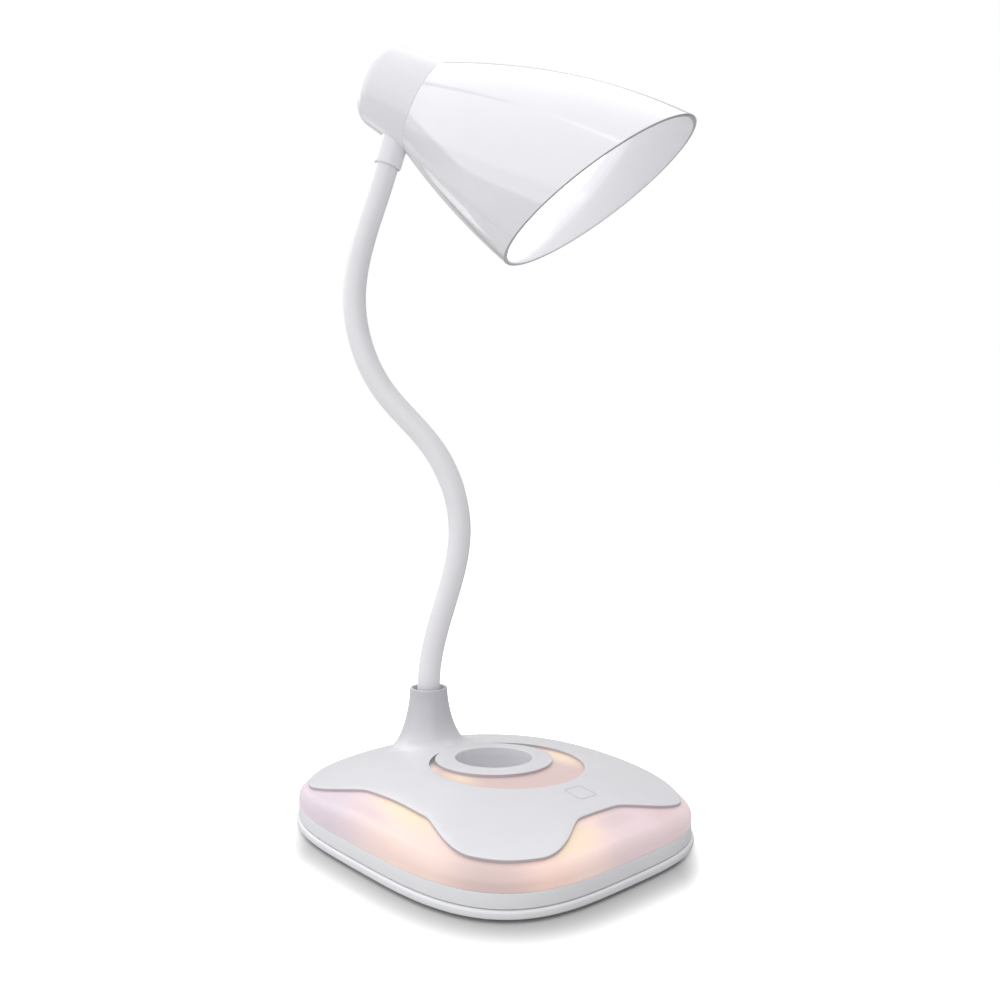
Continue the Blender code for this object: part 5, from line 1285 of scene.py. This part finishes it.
class LAMP_OT_light(Operator):
    """Build the milky disc in the shade"""

    bl_idname = "lamp.light"
    bl_label = "Light"

    def execute(self, context):
        """A slab between two parallel slanting planes, whose edge follows the shade's inner wall."""
        lamp = context.scene.lamp
        form, h = HeadForm(lamp), lamp.head
        angle = turns(lamp.round_steps)
        inset = h.wall + lamp.base.gap
        rings = []
        for shift, shares in ((0.0, np.linspace(0, 1, 24)), (-h.disc_thick, np.linspace(1, 0, 6))):
            edge, start = form.slanted(h.disc_top, h.disc_bottom, inset, angle, shift)
            rim = form.wall(edge, angle, inset)
            middle = np.array((0, 0, start))
            rings += [middle + (rim - middle) * share for share in shares]
        finish = lit_disc("disc_light", lamp.finish)
        add_piece("milky_disc", [form.placed(skin(rings))], finish, ["light_disc"], "head")
        return {"FINISHED"}


class LAMP_OT_collar(Operator):
    """Build the collar between neck and head"""

    bl_idname = "lamp.collar"
    bl_label = "Collar"

    def execute(self, context):
        """A tube about the neck's last direction whose upper edge follows the housing's surface."""
        lamp = context.scene.lamp
        neck, h, form, line = lamp.neck, lamp.head, HeadForm(lamp), NeckLine(lamp)
        place, direction = (value[0] for value in line.at(line.total))
        angle = turns(lamp.round_steps)
        ring = np.cos(angle)[:, None] * np.cross(direction, line.side) + np.sin(angle)[:, None] * line.side
        rings = []
        bore = neck.radius + lamp.base.gap
        edge = neck.collar_round
        start, corner = (bore, neck.collar_start), (neck.collar_radius, neck.collar_start)
        for radius, height in [start, *rounded(corner, start, (neck.collar_radius, h.housing), edge)]:
            rings.append(place + ring * radius + direction * height)
        low, high = np.full(len(angle), neck.collar_start), np.full(len(angle), h.housing)
        for _ in range(HALVINGS):
            middle = (low + high) / 2
            outside = self.outside(form, place + ring * neck.collar_radius + direction * middle[:, None])
            low, high = np.where(outside, middle, low), np.where(outside, high, middle)
        top = place + ring * neck.collar_radius + direction * (low + lamp.base.gap)[:, None]
        rings += [rings[-1] + (top - rings[-1]) * share for share in np.linspace(0, 1, 12)[1:]]
        rings.append(place + ring * bore + direction * (low + lamp.base.gap)[:, None])
        finish = moulded_plastic("collar_white", lamp.finish.head, 0.25)
        add_piece("collar_tube", [skin(rings, True)], finish, ["neck_collar"], "head")
        return {"FINISHED"}

    @staticmethod
    def outside(form, points):
        """Whether points lie outside the housing's turned surface."""
        h = form.h
        local = form.local(points)
        radius, station = np.hypot(local[:, 0], local[:, 1]), local[:, 2]
        share = np.clip((-h.housing - station) / h.cap, 0, 1)
        rear = h.rear * (1 - share**2) ** (1 / h.cap_power)
        side = h.rear + (h.seam - h.rear) * np.clip((station + h.housing) / h.housing, 0, 1)
        return (radius > np.where(station < -h.housing, rear, side)) | (station < -h.housing - h.cap)


class LAMP_OT_inner_parts(Operator):
    """Give the inner parts that stay as packed their finishes"""

    bl_idname = "lamp.inner_parts"
    bl_label = "Inner parts"

    def execute(self, context):
        """Wires are rubber, screws and the neck's core are steel, and the rest is named one by one."""
        steel = brushed_metal("steel", (0.6, 0.6, 0.61), 0.3)
        finishes = {
            "charge_socket": brushed_metal("socket_steel", (0.66, 0.66, 0.67), 0.25),
            "ballast_plate": brushed_metal("ballast_steel", (0.45, 0.45, 0.46), 0.45),
            "heat_spreader": brushed_metal("aluminium", (0.78, 0.78, 0.79), 0.38),
            "touch_pad": brushed_metal("copper", (0.8, 0.45, 0.28), 0.32),
            "battery_pack": moulded_plastic("cell_wrap", (0.3, 0.42, 0.58), 0.35),
            "battery_cradle": moulded_plastic("cradle_grey", (0.66, 0.67, 0.7), 0.5),
            "control_board": board_lacquer("board_green", (0.04, 0.2, 0.1)),
            "glow_board": board_lacquer("board_white", (0.62, 0.63, 0.62)),
            "led_board": board_lacquer("led_white", (0.6, 0.61, 0.6)),
            "reflector": moulded_plastic("reflector_white", (0.86, 0.86, 0.86), 0.2),
        }
        wire = soft_rubber("wire_red", (0.5, 0.04, 0.03), 0.45)
        for name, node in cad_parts.items():
            finish = finishes.get(name, wire if "lead" in name else steel)
            node.data.materials.clear()
            node.data.materials.append(finish)
        return {"FINISHED"}


# Studio


class LAMP_OT_stage(Operator):
    """Build the floor, the lights and the camera"""

    bl_idname = "lamp.stage"
    bl_label = "Stage"

    def execute(self, context):
        """A pale floor that keeps the lamp's shadow and has painted shadow close to the base, a white
        surrounding and soft lights.
        """
        scene = context.scene
        stage = scene.lamp.stage
        self.floor(stage, scene.lamp.base)
        self.surrounding(scene, stage)
        self.lights(stage)
        data = bpy.data.cameras.new("camera")
        data.sensor_width = 36.0
        data.lens = stage.lens
        data.clip_start = 0.01
        camera = bpy.data.objects.new("camera", data)
        scene.collection.objects.link(camera)
        camera.location = stage.camera
        lean = Vector(stage.target) - Vector(stage.camera)
        camera.rotation_euler = lean.to_track_quat("-Z", "Y").to_euler()
        scene.camera = camera
        scene.view_settings.view_transform = "Standard"
        return {"FINISHED"}

    @staticmethod
    def floor(stage, base):
        """A pale sheet that keeps the shadow near the base, adds painted shadow close to it, and is plain
        white to camera beyond it.
        """
        corners = np.array(((-1, -1, 0), (1, -1, 0), (1, 1, 0), (-1, 1, 0))) * stage.floor
        mesh = bpy.data.meshes.new("floor")
        mesh.from_pydata(corners.tolist(), [], [(0, 1, 2, 3)])
        floor = bpy.data.objects.new("floor", mesh)
        bpy.context.scene.collection.objects.link(floor)
        material, tree, shader = new_finish("floor_white")
        seen = add_node(tree, "ShaderNodeLightPath").outputs["Is Camera Ray"]
        shader.inputs["Roughness"].default_value = 0.9
        shader.inputs["Specular IOR Level"].default_value = 0.0
        shader.inputs["Emission Color"].default_value = (1.0, 1.0, 1.0, 1.0)
        place = object_place(tree)
        away = LAMP_OT_stage.away_from_base(tree, place, base)
        across = Vector((-stage.camera[1], stage.camera[0], 0)).normalized()
        half_width = (base.length + base.width) / 4
        aside = calc(tree, "ABSOLUTE", along_line(tree, place, across / half_width))
        kept = remap(tree, away, stage.shadow_start, stage.shadow_end, 1.0, 0.0)
        kept = calc(tree, "MULTIPLY", kept, remap(tree, aside, stage.side_start, stage.side_end, 1.0, 0.0))
        glow = calc(tree, "MULTIPLY", seen, calc(tree, "SUBTRACT", 1.0, kept))
        tree.links.new(glow, shader.inputs["Emission Strength"])
        # To the camera the floor has painted shadow, darkest close to the base, and to all other rays it is
        # even
        share = remap(tree, away, stage.contact_start, stage.contact_end, 0.0, 1.0)
        shades = (stage.contact, stage.open, stage.unseen)
        near, far, unseen = (tint((1.0, 1.0, 1.0), value) for value in shades)
        shade = blend_colours(tree, share, near, far)
        tree.links.new(blend_colours(tree, seen, unseen, shade), shader.inputs["Base Color"])
        mesh.materials.append(material)

    @staticmethod
    def away_from_base(tree, place, base):
        """How far out a place is, with the base's outline as 1: (|x/a|^p + |y/b|^p)^(1/p)."""
        parts = add_node(tree, "ShaderNodeSeparateXYZ", {0: place}).outputs
        powers = []
        for part, half in zip(parts, (base.length / 2, base.width / 2)):
            size = calc(tree, "ABSOLUTE", calc(tree, "MULTIPLY", part, 1 / half))
            powers.append(calc(tree, "POWER", size, base.power))
        return calc(tree, "POWER", calc(tree, "ADD", *powers), 1 / base.power)

    @staticmethod
    def surrounding(scene, stage):
        """A white world to the camera, even light on the lamp and a dimmer room in its reflections."""
        world = bpy.data.worlds.new("surrounding")
        scene.world = world
        world.use_nodes = True
        tree = world.node_tree
        background = tree.nodes["Background"]
        background.inputs["Color"].default_value = (1.0, 1.0, 1.0, 1.0)
        path = add_node(tree, "ShaderNodeLightPath")
        room = remap(tree, path.outputs["Is Glossy Ray"], 0.0, 1.0, stage.ambient, stage.gloss, "LINEAR")
        strength = calc(tree, "MAXIMUM", room, path.outputs["Is Camera Ray"])
        tree.links.new(strength, background.inputs["Strength"])

    @staticmethod
    def lights(stage):
        """Panels of even brightness; the card only shows in reflections."""
        # Name, brightness, width, height, place, point that it faces
        plan = (
            ("front", stage.front, 2.26, 1.7, (0.19, -0.77, 0.862), (-0.03, 0.05, 0.862)),
            ("card", stage.card, 2.28, 1.72, (0.19, -0.79, 0.862), (-0.03, 0.05, 0.862)),
            ("above", stage.above, 2.4, 2.4, (0.0, 0.435, 1.72), (0.0, 0.435, 0.0)),
            ("back", stage.back, 1.0, 1.0, (-1.1, 0.15, 1.15), (0.0, 0.0, 0.0)),
            ("left", stage.left, 0.7, 0.9, (-0.95, -0.45, 0.75), (-0.05, 0.05, 0.2)),
            ("edge", stage.edge, 0.16, 0.16, (-0.65, 0.03, 0.17), (-0.05, 0.03, 0.3)),
        )
        for name, brightness, width, height, place, target in plan:
            data = bpy.data.lights.new(name, "AREA")
            data.shape = "RECTANGLE"
            data.size, data.size_y = width, height
            data.energy = 4 * brightness * width * height
            light = bpy.data.objects.new(name, data)
            bpy.context.scene.collection.objects.link(light)
            light.visible_diffuse = name != "card"
            light.location = place
            light.rotation_euler = (Vector(target) - Vector(place)).to_track_quat("-Z", "Y").to_euler()


class LAMP_PT_lamp(Panel):
    """Lists the lamp's pieces and settings"""

    bl_label = "Touch Table Lamp"
    bl_idname = "LAMP_PT_lamp"
    bl_space_type = "VIEW_3D"
    bl_region_type = "UI"
    bl_category = "Lamp"

    def draw(self, context):
        layout = self.layout
        for operator in OPERATORS:
            layout.operator(operator.bl_idname)
        lamp = context.scene.lamp
        for name in ("base", "shell", "plate", "pen", "neck", "head", "finish", "stage"):
            group = getattr(lamp, name)
            box = layout.box()
            box.label(text=type(group).__name__)
            for key in type(group).__annotations__:
                box.prop(group, key)


OPERATORS = (
    LAMP_OT_inner_parts,
    LAMP_OT_lower_case,
    LAMP_OT_milky_shell,
    LAMP_OT_top_plate,
    LAMP_OT_touch_mark,
    LAMP_OT_pen_cup,
    LAMP_OT_neck,
    LAMP_OT_collar,
    LAMP_OT_head,
    LAMP_OT_light,
    LAMP_OT_stage,
)
SIZES = (BaseSizes, ShellSizes, PlateSizes, PenSizes, NeckSizes, HeadSizes)
CLASSES = (*SIZES, Finishes, StageSizes, LampSettings, *OPERATORS, LAMP_PT_lamp)


def register():
    """Registers the classes and hangs the settings on the scene."""
    for item in CLASSES:
        bpy.utils.register_class(item)
    bpy.types.Scene.lamp = PointerProperty(type=LampSettings)


def unregister():
    """Takes back what register did, in reverse."""
    del bpy.types.Scene.lamp
    for item in reversed(CLASSES):
        bpy.utils.unregister_class(item)


def main():
    """Builds the whole lamp piece by piece."""
    register()
    bpy.ops.lamp.inner_parts()
    bpy.ops.lamp.lower_case()
    bpy.ops.lamp.milky_shell()
    bpy.ops.lamp.top_plate()
    bpy.ops.lamp.touch_mark()
    bpy.ops.lamp.pen_cup()
    bpy.ops.lamp.neck()
    bpy.ops.lamp.collar()
    bpy.ops.lamp.head()
    bpy.ops.lamp.light()
    bpy.ops.lamp.stage()


if __name__ == "__main__":
    main()
